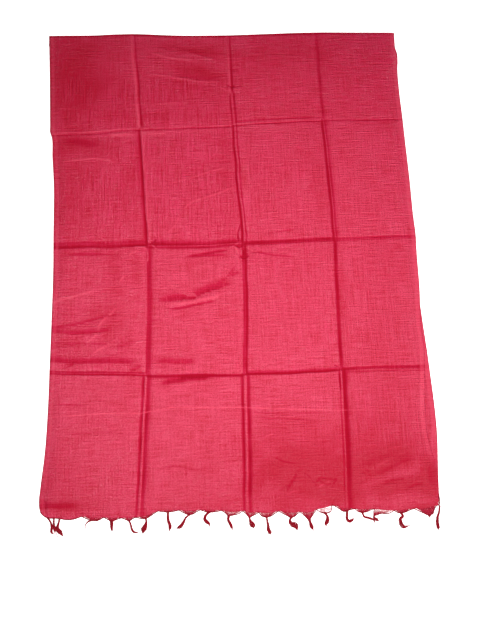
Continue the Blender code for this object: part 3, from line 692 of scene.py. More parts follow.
# ---------------------------------------------------------------- places on the cloth
def hem_points():
    """The woven hem of the upper half, from left to right."""
    points = list(HEM_LEFT)
    for fan in FANS:
        (x0, y0), (x1, y1) = fan.outline[0], fan.outline[-1]
        for x, y in fan.outline[1:]:
            chord = y0 + (y1 - y0) * min(1, max(0, (x - x0) / (x1 - x0)))
            points.append((x, chord + (y - chord) * fan.fill + HEM_LAP))
    points += HEM_RIGHT
    return np.array(sorted(points))


HEM = hem_points()


def hem_y(x):
    return np.interp(x, HEM[:, 0], HEM[:, 1])


def selvedge(table, levels, v):
    """x of a selvedge at stations v, from points given by their y."""
    points = np.array(table)
    at = np.interp(-points[:, 1], -levels, range(len(levels)))
    return smooth_table(np.column_stack((at, points[:, 0])), v)[:, 0]


def front_grid(u, v):
    """x and y of the upper half and its crease lines, on a grid of stations."""
    levels = np.column_stack((smooth_table(CROSSWISE, u), np.full(len(u), HEM_LEVEL)))
    end_levels = np.column_stack((smooth_table(CROSSWISE, np.array((0.0, 4.0))), HEM_CORNERS))
    left = selvedge(LEFT_SELVEDGE, end_levels[0], v)
    right = selvedge(RIGHT_SELVEDGE, end_levels[1], v)
    lines = np.column_stack((left, smooth_table(LENGTHWISE, v), right))
    x = between_lines(lines, u)
    y = between_lines(levels, v).T
    near_hem = np.clip(v - 3, 0, 1)[:, None] ** HEM_SHAPE_POWER
    y = y + (hem_y(x[-1])[None, :] - HEM_LEVEL) * near_hem
    return x, y, lines, levels


def crease_bells(bells, line_distance, station_along, place_along, seed):
    """Sum of a table's bells. line_distance gives the distance from a crease by its number."""
    crossing = np.abs(station_along - np.clip(np.round(station_along), 1, 3))
    pinch = PINCHED + (1 - PINCHED) * settled(crossing, PINCH_REACH)
    narrowed = PINCHED_WIDTH + (1 - PINCHED_WIDTH) * pinch
    flat = place_along * 0
    total = 0
    for number, row in enumerate(bells):
        wander = lattice_noise(place_along, flat + 40 * row.line, WANDER_LENGTH, 1, seed)
        distance = line_distance(row.line) - row.centre - CREASE_WANDER * wander
        uneven = lattice_noise(place_along, flat, UNEVEN_LENGTH, 1, seed + 3 + number)
        held = 1.0
        if row.start > 0:
            held = held * settled(station_along - row.start + ROW_BLEND / 2, ROW_BLEND)
        if row.end < 4:
            held = held * settled(row.end - station_along + ROW_BLEND / 2, ROW_BLEND)
        width = np.where(distance < 0, row.below, row.above)
        power = np.where((row.height < 0) & (width < SOFT_WIDTH), GROOVE_POWER, RIDGE_POWER)
        shape = bell(distance / narrowed, row.below, row.above, power)
        total = total + row.height * (1 + CREASE_UNEVEN * uneven) * held * pinch * shape
    return total


def wrinkle_relief(x, y):
    """Height of all wrinkles, and how far the nearest is in half widths and its own height."""
    total = 0
    nearest, nearest_height = np.full(x.shape, FAR_OFF), np.zeros(x.shape)
    for wrinkle in WRINKLES:
        away, side, along = path_distance(x, y, wrinkle.path)
        share = away / np.where(side < 0, wrinkle.right, wrinkle.left)
        fade = settled(along, wrinkle.fade) * settled(1 - along, wrinkle.fade)
        height = wrinkle.height * fade
        total = total + height * np.exp(-share ** WRINKLE_POWER)
        nearer = share < np.abs(nearest)
        nearest = np.where(nearer, np.where(side < 0, -share, share), nearest)
        nearest_height = np.where(nearer, height, nearest_height)
    return total, nearest, nearest_height


def overhang(x, y):
    """How far a point of the upper half is past the lower half's selvedges."""
    v = np.interp(-y, -np.array(BACK_LEVELS), range(len(BACK_LEVELS)))
    sides = smooth_table(BACK_SIDES, v.ravel())
    return np.maximum(sides[:, 0].reshape(y.shape) - x, x - sides[:, 1].reshape(y.shape))


def front_relief(u, v, x, y, lines, levels, wrinkles):
    """Height of the upper layer's top over its pressed-down level, and the depth of its creases and
    wrinkles that is painted as shade and highlight.
    """
    from_side = np.minimum(x - lines[:, :1], lines[:, -1:] - x)
    from_hem = y - hem_y(x[-1])[None, :]
    from_edge = settled(np.minimum(from_side, from_hem), SELVEDGE_SETTLE)
    from_fold = settled(levels[:, 0][None, :] - y, FOLD_SETTLE)
    lift = (FOLD_LIFT + (LIFT - FOLD_LIFT) * from_fold) * from_edge
    u_grid = np.broadcast_to(u[None, :], x.shape)
    v_grid = np.broadcast_to(v[:, None], x.shape)
    folds = crease_bells(LENGTHWISE_BELLS, lambda n: x - lines[:, n:n + 1], v_grid, y, 11)
    near_end = settled(np.maximum(v_grid - ENDS[1], ENDS[0] - v_grid), ENDS[0])
    folds = folds * (1 - ENDS_FLATTER * near_end)
    folds = folds + crease_bells(
        CROSSWISE_BELLS, lambda n: y - levels[:, n][None, :], u_grid, x, 51
    )
    soft = 0
    for n in CREASES:
        for distance in (x - lines[:, n:n + 1], y - levels[:, n][None, :]):
            soft = soft - PILLOW * bell(distance, PILLOW_WIDTH, PILLOW_WIDTH)
    for number, (height, across, along) in enumerate(WAVES):
        soft = soft + height * lattice_noise(x, y, across, along, 71 + number)
    relief = lift + CREASE_RELIEF * folds + WRINKLE_RELIEF * wrinkles
    relief = relief + soft * (PRESSED + (1 - PRESSED) * from_edge)
    relief = (relief + np.sqrt(relief ** 2 + SMOOTH_FLOOR ** 2)) / 2
    droop = np.maximum(
        EDGE_DROOP * settled(overhang(x, y), DROOP_REACH),
        HEM_DROOP * settled(HEM_DROOP_REACH - from_hem, HEM_DROOP_REACH),
    )
    return relief - droop, folds + WRINKLE_SHADING * wrinkles


def patched(table, x, y, seed):
    """The sum of a table's soft-edged patches at every point."""
    ragged_x = lattice_noise(x, y, 30, 30, seed)
    ragged_y = lattice_noise(x, y, 26, 26, seed + 1)
    total = np.zeros(x.shape)
    for patch in table:
        away_x = (x - patch.x + RAGGED * patch.across * ragged_x) / patch.across
        away_y = y - patch.y - patch.slant * (x - patch.x)
        away_y = (away_y + RAGGED * patch.along * ragged_y) / patch.along
        total = total + patch.strength * np.exp(-(away_x ** 2 + away_y ** 2))
    return total


def gathered(x, y):
    """How strongly the cloth is gathered at every point."""
    patchy = 0.6 + 0.4 * lattice_noise(x, y, 45, 200, 91)
    total = np.zeros(x.shape)
    for row in GATHERS:
        away = path_distance(x, y, row.path)[0]
        total = np.maximum(total, row.strength * patchy * np.exp(-((away / row.half_width) ** 2)))
    return total


# ---------------------------------------------------------------- meshes
def place(points):
    """Millimetres of the cloth to metres of the frame."""
    moved = np.array(points, float) * MM
    moved[..., 0] += SHIFT_X * MM
    moved[..., 1] += SHIFT_Y * MM
    return moved


def make_mesh(name, vertices, faces, finishes, face_finishes=None):
    mesh = bpy.data.meshes.new(name)
    mesh.from_pydata(place(vertices).tolist(), [], faces)
    for finish in finishes:
        mesh.materials.append(finish)
    if face_finishes is not None:
        mesh.polygons.foreach_set("material_index", face_finishes)
    mesh.shade_smooth()
    mesh.update()
    made = bpy.data.objects.new(name, mesh)
    bpy.context.scene.collection.objects.link(made)
    return made


def put_attributes(mesh, spread, grids):
    """Adds attributes by name: one grid is a number at every vertex, three are a vector."""
    for name, values in grids.items():
        vector = isinstance(values, tuple)
        layer = mesh.attributes.new(name, "FLOAT_VECTOR" if vector else "FLOAT", "POINT")
        flat = np.column_stack([spread(grid) for grid in values]) if vector else spread(values)
        layer.data.foreach_set("vector" if vector else "value", flat.astype(np.float32).ravel())


def grid_faces(rows, columns, first=0, flipped=False):
    r, c = np.meshgrid(np.arange(rows - 1), np.arange(columns - 1), indexing="ij")
    corner = (first + r * columns + c).ravel()
    quads = np.column_stack((corner, corner + columns, corner + columns + 1, corner + 1))
    return (quads[:, ::-1] if flipped else quads).tolist()


def grid_normals(points):
    normals = np.cross(np.gradient(points, axis=0), np.gradient(points, axis=1))
    return normals / np.linalg.norm(normals, axis=2, keepdims=True)


def every_third(count):
    return sorted(set(range(0, count, 3)) | {count - 1})


def shell(outer, inner_rows, inner_columns, inner):
    """A closed thin shell: a fine outer grid, a coarser inner one, and the rim between them."""
    rows, columns = outer.shape[:2]
    vertices = np.concatenate((outer.reshape(-1, 3), inner.reshape(-1, 3)))
    first = rows * columns
    faces = grid_faces(rows, columns) + grid_faces(*inner.shape[:2], first, flipped=True)
    wide = len(inner_columns)
    last_row, last_inner = (rows - 1) * columns, first + (len(inner_rows) - 1) * wide
    for a in range(wide - 1):
        span = range(inner_columns[a], inner_columns[a + 1] + 1)
        faces.append([*span, first + a + 1, first + a])
        faces.append([last_row + c for c in span][::-1] + [last_inner + a, last_inner + a + 1])
    for b in range(len(inner_rows) - 1):
        span = range(inner_rows[b], inner_rows[b + 1] + 1)
        near, far = first + b * wide, first + (b + 1) * wide
        faces.append([r * columns for r in span][::-1] + [near, far])
        faces.append([r * columns + columns - 1 for r in span] + [far + wide - 1, near + wide - 1])
    return vertices, faces


def round_creases(half_width, factor):
    return [(n, half_width, factor) for n in CREASES]


FRONT_COLUMNS = stations(247, round_creases(0.08, 3.6) + [(0, 0.03, 2.5), (4, 0.03, 2.5)])
FRONT_ROWS = stations(333, round_creases(0.06, 3.4) + [(0, 0.02, 2), (4, 0.03, 2)])


def turned_under(x, y, lines, radius):
    """The rows of cloth from the lower half's level up and round the folded edge."""
    creases = sum(bell(x - lines[n], UNDER_WIDTH, UNDER_WIDTH) for n in CREASES)
    edge = y - radius * 0.2
    rows = []
    for share in FLAP_ROWS:
        groove = GROOVE * creases * (1 - share * 0.5)
        rows.append(np.column_stack((x, FLAP_END + (edge - FLAP_END) * share, groove * 0.8)))
    for step in range(TURN_STEPS):
        angle = math.pi * ((step + 0.5) / TURN_STEPS - 0.5)
        round_y, round_z = y + radius * math.cos(angle), radius + radius * math.sin(angle)
        rows.append(np.column_stack((x, round_y, round_z)))
    return np.array(rows)


def make_front_cloth(finish):
    u, v = FRONT_COLUMNS, FRONT_ROWS
    x, y, lines, levels = front_grid(u, v)
    wrinkles, wrinkle_at, wrinkle_height = wrinkle_relief(x, y)
    relief, folds = front_relief(u, v, x, y, lines, levels, wrinkles)
    z = UPPER + relief
    radius = z[0] / 2
    y[0] -= radius
    underside = turned_under(x[0], y[0], lines[0], radius)
    turned = len(underside)
    outer = np.concatenate((underside, np.dstack((x, y, z))))
    inner = outer - grid_normals(outer) * CLOTH
    flat = turned + 4      # the inner side is straight below the outer one from this row on
    inner[flat:, :, :2] = outer[flat:, :, :2]
    inner[flat:, :, 2] = lowest_near(z, 3)[4:] - CLOTH
    inner_rows = sorted(set(range(0, flat, 2)) | set(every_third(len(outer))[(turned + 6) // 3:]))
    inner_columns = every_third(len(u))
    picked = np.ix_(inner_rows, inner_columns)
    vertices, faces = shell(outer, inner_rows, inner_columns, inner[picked])
    cloth = make_mesh("front_cloth", vertices, faces, [finish])

    def joined(below, above):
        """A grid of the turned-under rows and the rows above them."""
        return np.concatenate((np.broadcast_to(below, (turned, len(u))), above))

    def both(grid):
        return np.concatenate((grid.ravel(), grid[picked].ravel()))

    away, side, _ = path_distance(x, y, WEFT_LINE)
    weft = joined(FAR_AWAY, np.where(side < 0, -away, away))
    travelled = np.concatenate((2 * FOLD_Y - underside[..., 1], y))
    round_fold = (np.arange(turned) >= turned - TURN_STEPS)[:, None]
    none = np.zeros(outer.shape[:2])
    put_attributes(cloth.data, both, {
        "thread_place": (joined(x[:1], x), travelled, none),
        "line_distance": (
            joined(x[:1] - lines[:1, :1], x - lines[:, :1]),
            joined(lines[:1, -1:] - x[:1], lines[:, -1:] - x),
            weft,
        ),
        # Painted shade round the folded edge, in low places and in troughs, and painted highlight
        # on ridges.
        "painted_shading": joined(
            FOLD_SHADE * round_fold, LOW_SHADE * (blurred(z, LOW_REACH) - z) - CREASE_SHADING * folds
        ),
        "gather": joined(0, gathered(x, y)),
        "dye_and_shade": joined(0, patched(DYE_AND_SHADE_PATCHES, x, y, 95)),
        "warped": joined(0, patched(WARP_PATCHES, x, y, 97)),
        "wrinkle": (joined(FAR_OFF, wrinkle_at), joined(0, wrinkle_height), none),
    })
    return cloth


def make_back_cloth(finish):
    u = stations(111, round_creases(0.07, 2.0) + [(4, 0.1, 2.5)])
    v = stations(141, round_creases(0.05, 2.0))
    hem = smooth_table(BACK_HEM, u)
    levels = np.column_stack((np.full(len(u), BACK_TOP), smooth_table(CROSSWISE, u)[:, 1:], hem))
    sides = smooth_table(BACK_SIDES, v)
    x = sides[:, :1] + (sides[:, 1:] - sides[:, :1]) * u[None, :] / 4
    y = between_lines(levels, v).T
    lines = np.column_stack((sides[:, 0], smooth_table(LENGTHWISE, v), sides[:, 1]))

    def grooves(distance, along, seed, below, above):
        """The sum of wandering troughs, from the distance to each crease by its number."""
        total = 0
        for n in CREASES:
            wander = BACK_WANDER * lattice_noise(along, along * 0, BACK_WANDER_LENGTH, 1, n + seed)
            total = total + bell(distance(n) - wander, below, above)
        return total

    groove = grooves(lambda n: x - lines[:, n:n + 1], y, 0, 3.5, 5)
    groove = groove + grooves(lambda n: y - levels[:, n][None, :], x, 9, 4, 5)
    groove = np.minimum(groove, 1.0) * (0.8 + 0.2 * lattice_noise(x, y, 30, 30, 5))
    ripple = 0.5 + 0.5 * lattice_noise(x, y, 40, 70, 6)
    from_left, from_right = x - lines[:, :1], lines[:, -1:] - x
    from_edge = settled(np.minimum(from_left, from_right), BACK_EDGE)
    under = GROOVE * groove + BACK_RIPPLE * ripple * from_edge
    over = np.maximum(under + CLOTH, BACK_THICKNESS)
    rows, columns = x.shape
    count = rows * columns
    vertices = np.concatenate([np.dstack((x, y, z)).reshape(-1, 3) for z in (over, under)])
    faces = grid_faces(rows, columns) + grid_faces(rows, columns, count, flipped=True)
    loop = (
        [(0, c) for c in range(columns)]
        + [(r, columns - 1) for r in range(1, rows)]
        + [(rows - 1, c) for c in range(columns - 2, -1, -1)]
        + [(r, 0) for r in range(rows - 2, 0, -1)]
    )
    loop = [r * columns + c for r, c in loop]
    for a, b in zip(loop, loop[1:] + loop[:1]):
        faces.append([a, b, b + count, a + count])
    cloth = make_mesh("back_cloth", vertices, faces, [finish])
    none = np.zeros(x.shape)
    far = none + FAR_AWAY
    put_attributes(cloth.data, lambda grid: np.tile(grid.ravel(), 2), {
        "thread_place": (from_left, y, far),
        "line_distance": (from_left, from_right, far),
        # Painted shade in the lower half's creases, and the whole lower half a little darker.
        "painted_shading": groove * 0.3,
        "gather": none,
        "dye_and_shade": none + 0.3,
        "warped": none + 0.4,
        "wrinkle": (far, none, none),
    })
    return cloth


# ---------------------------------------------------------------- threads
class Threads:
    """Collects round threads into one mesh with two finishes: dark twisted, and pale loose."""

    def __init__(self, seed):
        self.vertices = []
        self.faces = []
        self.finishes = []
        self.count = 0
        self.random = np.random.RandomState(seed)

    def tube(self, points, radius, sides=4, finish=0):
        points = np.asarray(points, float)
        radii = np.broadcast_to(np.asarray(radius, float), len(points))
        along = np.gradient(points, axis=0)
        along /= np.maximum(np.linalg.norm(along, axis=1, keepdims=True), 1e-6)
        level = np.column_stack((-along[:, 1], along[:, 0], np.zeros(len(points))))
        level /= np.maximum(np.linalg.norm(level, axis=1, keepdims=True), 1e-6)
        raised = np.cross(along, level)
        angles = 2 * np.pi * (np.arange(sides) + 0.5) / sides
        ring = (
            points[:, None, :]
            + radii[:, None, None] * np.cos(angles)[None, :, None] * level[:, None, :]
            + radii[:, None, None] * np.sin(angles)[None, :, None] * raised[:, None, :]
        )
        first = self.count
        self.vertices.append(ring.reshape(-1, 3))
        self.count += len(points) * sides
        i, j = np.meshgrid(np.arange(len(points) - 1), np.arange(sides), indexing="ij")
        a = first + i * sides + j
        b = first + i * sides + (j + 1) % sides
        quads = np.stack((a, b, b + sides, a + sides), axis=-1).reshape(-1, 4).tolist()
        caps = [
            [first + j for j in range(sides)][::-1],
            [self.count - sides + j for j in range(sides)],
        ]
        self.faces += quads + caps
        self.finishes += [finish] * (len(quads) + 2)

    def build(self, name, finishes):
        vertices = np.concatenate(self.vertices)
        vertices[:, 2] = np.maximum(vertices[:, 2], 0.05)
        return make_mesh(name, vertices, self.faces, finishes, self.finishes)


def smooth_route(points, spacing):
    """Even points on a smooth curve through the given ones, and the distance along it."""
    points = np.asarray(points, float)
    stops = np.concatenate(([0], np.cumsum(np.hypot(*np.diff(points[:, :2], axis=0).T))))
    count = max(6, int(math.ceil(stops[-1] / spacing)) + 1)
    at = np.linspace(0, stops[-1], count)
    return smooth_table(np.column_stack((stops, points)), at), at


def strand_widths(strand, at):
    """Width along a strand: its start, its widest place, and a narrow tip."""
    share = at / at[-1]
    grown = settled(share, strand.place)
    width = strand.start + (strand.widest - strand.start) * grown ** 1.5
    closing = settled(share - strand.place, 1.02 - strand.place)
    return width * (1 - closing) + 0.9 * closing


def twisted_strand(threads, strand, start_height):
    """A bundle of fibres twisted round the route, opening out where the strand is wide."""
    random = threads.random
    route, at = smooth_route(strand.route, 1.1)
    width = strand_widths(strand, at) * FULLNESS
    tall = np.minimum(width, STRAND_HEIGHT)
    along = np.gradient(route, axis=0)
    along /= np.linalg.norm(along, axis=1, keepdims=True)
    side = np.column_stack((-along[:, 1], along[:, 0]))
    rest = tall / 2 + 0.1
    height = rest + (start_height - rest) * np.exp(-at / 4)
    taper = 1 - 0.45 * (at / at[-1]) ** 5
    for number in range(FIBRES):
        reach = 0.0 if number == 0 else random.uniform(0.72, 1.0)
        phase = 2 * math.pi * number / (FIBRES - 1) + random.uniform(-0.3, 0.3)
        turn = phase + 2 * math.pi * at / TWIST
        thick = FIBRE * random.uniform(0.8, 1.15)
        room = np.maximum(width / 2 - thick, 0.05)
        headroom = np.maximum(tall / 2 - thick * 0.8, 0.05)
        away = reach * room * np.cos(turn)
        raised = height + reach * headroom * np.sin(turn)
        points = np.column_stack((route + side * away[:, None], raised))
        end = len(at) - random.randint(0, 3)
        threads.tube(points[:end], (thick * taper)[:end], 5)
    return route, at, width, height


def frayed_tip(threads, route, at, width, height):
    """Short hairs that leave the strand near its tip."""
    random = threads.random
    along = route[-1] - route[-3]
    angle = math.atan2(along[1], along[0])
    for _ in range(HAIRS):
        k = len(at) - 1 - random.randint(0, max(2, len(at) // 4))
        lean = angle + random.normal(0, 0.35)
        half = random.uniform(1.6, 4.2) * 0.5
        start = np.array((route[k][0], route[k][1], height[k]))
        start[:2] += random.uniform(-0.25, 0.25, 2) * width[k]
        bend = lean + random.normal(0, 0.5)
        turned = math.cos(lean) + math.cos(bend), math.sin(lean) + math.sin(bend)
        points = [
            start,
            start + (half * math.cos(lean), half * math.sin(lean), -0.2),
            start + (half * turned[0], half * turned[1], -0.5),
        ]
        threads.tube(points, np.array((0.2, 0.16, 0.08)), 3, finish=random.randint(0, 2))


def knot(threads, x, y, angle, width, height):
    """A few tight turns of thread round the top of a strand."""
    around = np.linspace(0, 2 * math.pi, 13)
    for number in range(KNOT_TURNS):
        tilt = threads.random.uniform(-0.5, 0.5)
        forward = (number - (KNOT_TURNS - 1) / 2) * 0.85 + tilt * np.sin(around)
        half = width / 2 * (1.0 - 0.15 * abs(number - 1))
        across = half * np.cos(around)
        points = np.column_stack((
            x + math.cos(angle) * forward - math.sin(angle) * across,
            y + math.sin(angle) * forward + math.cos(angle) * across,
            height + min(half, 0.85) * np.sin(around),
        ))
        threads.tube(points, 0.5, 5)


def outline_bulge(half, t):
    """How far half an outline is from the straight line between its peak and the knot."""
    share = np.linspace(0, 1, len(half))
    straight = half[0] + (half[-1] - half[0]) * t[:, None]
    return np.column_stack([np.interp(t, share, half[:, axis]) for axis in (0, 1)]) - straight


def two_ply(threads, line, height, radius, lean=0.0):
    """A cord of two threads turned round each other along a line."""
    for phase in (0, math.pi):
        turn = phase + np.arange(len(line)) * 0.9
        away = CORD_TURN * np.cos(turn)
        raised = height + CORD_TURN * np.sin(turn)
        points = np.column_stack((line[:, 0] + away * lean, line[:, 1] + away, raised))
        threads.tube(points, radius, 5)


def fan_threads(threads, fan):
    """Warp threads from the hem to the knot, loose wefts across them, and the edge cord."""
    random = threads.random
    outline = np.array(fan.outline)
    knot_at = outline[fan.knot]
    left_x, right_x = outline[0, 0], outline[-1, 0]
    edge, _ = smooth_route(outline, 1.2)
    middle = int(np.argmin(np.hypot(*(edge - knot_at).T)))
    halves = edge[:middle + 1], edge[middle:][::-1]
    t = np.linspace(0, 1, 8)
    warps = []
    count = max(6, int((right_x - left_x) / (WARP_SPACING / fan.weave)))
    for number in range(count):
        x = left_x + (right_x - left_x) * (number + random.uniform(0.2, 0.8)) / count
        half = halves[0] if x < knot_at[0] else halves[1]
        reach = abs(x - knot_at[0]) / max(1.0, abs(half[0][0] - knot_at[0]))
        start = np.array((x, float(hem_y(x)) + 2.5))
        line = start + (knot_at - start) * t[:, None]
        line += outline_bulge(half, t) * min(1, reach) ** 1.3
        line += random.normal(0, 0.12, line.shape) * (t * (1 - t) * 4)[:, None]
        height = HEM_HEIGHT + (KNOT_HEIGHT - HEM_HEIGHT) * t + random.uniform(-0.2, 0.2)
        warps.append(line)
        threads.tube(np.column_stack((line, height)), WARP * random.uniform(0.8, 1.2), finish=1)
    warps.sort(key=lambda line: line[0][0])
    for number in range(int(WEFT_ROWS * fan.weave + 0.5)):
        level = 0.25 + 0.62 * (number + random.uniform(0.1, 0.9)) / WEFT_ROWS
        points = np.array([
            [np.interp(level + random.normal(0, 0.03), t, line[:, axis]) for axis in (0, 1)]
            for line in warps
        ])
        height = np.full(len(points), HEM_HEIGHT + random.uniform(0, 0.35))
        threads.tube(np.column_stack((points, height)), WEFT, 3, finish=1)
    for half in halves:
        share = np.linspace(0, 1, len(half))
        height = HEM_HEIGHT + (KNOT_HEIGHT - HEM_HEIGHT) * share
        two_ply(threads, half, height, CORD + 0.3 * share, 0.4)


def loose_thread(threads, route, radius, height=0.7, finish=1):
    points, at = smooth_route(route, 1.3)
    lift = height + 0.25 * np.sin(at * 0.9)
    taper = 1 - 0.6 * (at / at[-1]) ** 3
    threads.tube(np.column_stack((points, lift)), radius * taper, 4, finish)


def make_front_tassels(finishes):
    threads = Threads(4)
    random = threads.random
    for fan in FANS:
        fan_threads(threads, fan)
    for strand in STRANDS:
        frayed_tip(threads, *twisted_strand(threads, strand, KNOT_HEIGHT))
        step = np.subtract(strand.route[1], strand.route[0])
        angle, width = math.atan2(step[1], step[0]), max(2.6, strand.start * 1.15)
        knot(threads, *strand.route[0], angle, width, KNOT_HEIGHT)
    for wisp in WISPS:
        for _ in range(3):
            loose_thread(threads, np.array(wisp) + random.normal(0, 0.35, (len(wisp), 2)), 0.2)
    edge, _ = smooth_route(HEM_LEFT, 1.2)
    two_ply(threads, edge, HEM_HEIGHT, CORD)
    for x in random.uniform(-345, 340, 46):
        lean = random.normal(0, 1.6)
        drop = random.uniform(1.5, 5)
        top = float(hem_y(x))
        hair = (x, top + 1.5), (x + lean * 0.4, top - drop * 0.5), (x + lean, top - drop)
        loose_thread(threads, hair, 0.13, 1.1)
    return threads.build("front_tassels", finishes)


def fan_threads_flat(threads, outline, xs, hem):
    """A hidden fan: fewer threads, all lying flat under the upper half."""
    knot_at = np.array(outline[2])
    left_x, right_x = outline[0][0], outline[-1][0]
    t = np.linspace(0, 1, 5)[:, None]
    height = np.full(5, BACK_HEM_HEIGHT - 0.15)
    for number in range(BACK_WARPS):
        x = left_x + (right_x - left_x) * (number + 0.5) / BACK_WARPS
        y = float(np.interp(x, xs, hem)) + 2
        line = np.array((x, y)) + (knot_at - (x, y)) * t
        threads.tube(np.column_stack((line, height)), 0.25, finish=1)


def flat_strand(threads, route):
    route, at = smooth_route(route, 1.4)
    for phase in (0, 2.1, 4.2):
        turn = phase + at * 1.1
        x, height = route[:, 0] + 0.6 * np.cos(turn), 0.62 + 0.15 * np.sin(turn)
        threads.tube(np.column_stack((x, route[:, 1], height)), 0.36, 5)


def make_back_tassels(finishes):
    threads = Threads(9)
    stops = np.array([4 * i / BACK_FANS for i in range(BACK_FANS + 1)])
    hem = smooth_table(BACK_HEM, stops)[:, 0]
    left, right = BACK_SIDES[-1][1:]
    xs = left + (right - left) * stops / 4
    for i in range(BACK_FANS - 1):
        peaks = (xs[i], hem[i]), (xs[i + 1], hem[i + 1])
        x, y = (xs[i] + xs[i + 1]) / 2, min(hem[i], hem[i + 1]) - BACK_KNOT_DROP
        outline = [peaks[0], (x - 4, y + 2.5), (x, y), (x + 4, y + 2.5), peaks[1]]
        fan_threads_flat(threads, outline, xs, hem)
        sway = 5 * math.sin(2.4 * i)
        length = min(BACK_STRAND, y - BACK_REACH)
        turns = (0, 0), (sway, length * 0.3), (-sway / 2, length * 0.65), (sway / 2, length)
        flat_strand(threads, [(x + aside, y - down) for aside, down in turns])
    corner = [(xs[-2], hem[-2]), (338, -484), (349.5, -485.5), (351.3, -484), (351.5, -479)]
    fan_threads_flat(threads, corner, xs, hem)
    for route in (corner[1:], ((352.0, -466.0), (352.4, -474.0), (352.2, -480.0), (351.4, -487.0))):
        loose_thread(threads, route, 0.9, 0.85, finish=0)
        loose_thread(threads, np.array(route) - (1.2, 0.6), 0.7, 0.75, finish=0)
    frayed_tip(threads, *twisted_strand(threads, CORNER_STRAND, 1.0))
    return threads.build("back_tassels", finishes)


# ---------------------------------------------------------------- finishes
def operator(operation, swapped=False):
    """A method that joins a value to another value or a number with a math node."""
    def join(self, other=0.0):
        pair = (other, self) if swapped else (self, other)
        return self.nodes.add("ShaderNodeMath", dict(enumerate(pair)), operation=operation)
    return join


class Value:
    """A node's output, written in formulas like a number."""

    __add__ = operator("ADD")
    __sub__ = operator("SUBTRACT")
    __mul__ = operator("MULTIPLY")
    __truediv__ = operator("DIVIDE")
    __pow__ = operator("POWER")
    __rpow__ = operator("POWER", swapped=True)
    __abs__ = operator("ABSOLUTE")
    higher = operator("MAXIMUM")

    def __init__(self, nodes, socket):
        self.nodes, self.socket = nodes, socket

    def clamped(self):
        self.socket.node.use_clamp = True
        return self


class Nodes:
    """Short ways to add and join a material's nodes."""

    def __init__(self, name):
        self.material = bpy.data.materials.new(name)
        self.material.use_nodes = True
        self.tree = self.material.node_tree

    def fill(self, node, inputs):
        for key, value in inputs.items():
            if isinstance(value, Value):
                self.tree.links.new(value.socket, node.inputs[key])
            else:
                node.inputs[key].default_value = value

    def shade(self, inputs):
        """The material, with these inputs of its shader."""
        self.fill(self.tree.nodes["Principled BSDF"], inputs)
        return self.material

    def add(self, kind, inputs, output=0, **settings):
        node = self.tree.nodes.new(kind)
        for key, value in settings.items():
            setattr(node, key, value)
        self.fill(node, inputs)
        return Value(self, node.outputs[output])

    def scaled(self, vector, scale):
        return self.add("ShaderNodeVectorMath", {0: vector, 1: scale}, operation="MULTIPLY")

    def split(self, vector):
        node = self.add("ShaderNodeSeparateXYZ", {0: vector}).socket.node
        return [Value(self, socket) for socket in node.outputs]

    def noise(self, vector, scale, detail, roughness):
        inputs = {"Vector": self.scaled(vector, scale), "Scale": 1.0}
        inputs.update({"Detail": detail, "Roughness": roughness})
        return self.add("ShaderNodeTexNoise", inputs, "Fac")

    def ribs(self, vector, scale, direction):
        inputs = {"Vector": self.scaled(vector, scale), "Scale": 0.42}
        inputs.update({"Distortion": 0.6, "Detail": 1.0})
        return self.add("ShaderNodeTexWave", inputs, "Fac", bands_direction=direction)

    def attribute(self, name, output="Fac"):
        return self.add("ShaderNodeAttribute", {}, output, attribute_name=name)

    def position(self):
        return self.add("ShaderNodeTexCoord", {}, "Object")

    def ramp(self, value, low, high, to_low=0.0, to_high=1.0, kind="SMOOTHSTEP"):
        ends = {"From Min": low, "From Max": high, "To Min": to_low, "To Max": to_high}
        return self.add("ShaderNodeMapRange", {"Value": value, **ends}, interpolation_type=kind)

    def band(self, value, centre, half_width, soft):
        """1 within a half width of a centre, 0 past it."""
        return self.ramp(abs(value - centre), half_width, half_width + soft, 1.0, 0.0)

    def mix(self, factor, first, second):
        return self.add("ShaderNodeMix", {0: factor, 6: first, 7: second}, 2, data_type="RGBA")

    def bump(self, strength, distance, height):
        inputs = {"Strength": strength, "Distance": distance, "Height": height}
        return self.add("ShaderNodeBump", inputs)


DEEP_CRIMSON = (0.43, 0.0003, 0.015, 1)
ROSE = (0.63, 0.022, 0.088, 1)
# Pale yarn of the selvedges and weft, and painted highlight on ridges, wrinkles and beside creases.
PALE_ROSE_AND_HIGHLIGHT = (0.68, 0.045, 0.10, 1)
# Painted shade in troughs, hollows and round the folded edge.
SHADE_CRIMSON = (0.335, 0.0006, 0.013, 1)
# Darker patches: partly deeper dye, partly painted shade.
DYE_AND_SHADE_CRIMSON = (0.395, 0.0003, 0.013, 1)
CORD_DARK, CORD_LIGHT = (0.175, 0.0002, 0.005, 1), (0.27, 0.0004, 0.011, 1)
THREAD_DARK, THREAD_LIGHT = (0.31, 0.0015, 0.0155, 1), (0.47, 0.016, 0.050, 1)
SHEEN_PINK = (1.0, 0.55, 0.80, 1)
GLOSS_TINT = (0.7, 0.65, 1.0, 1)


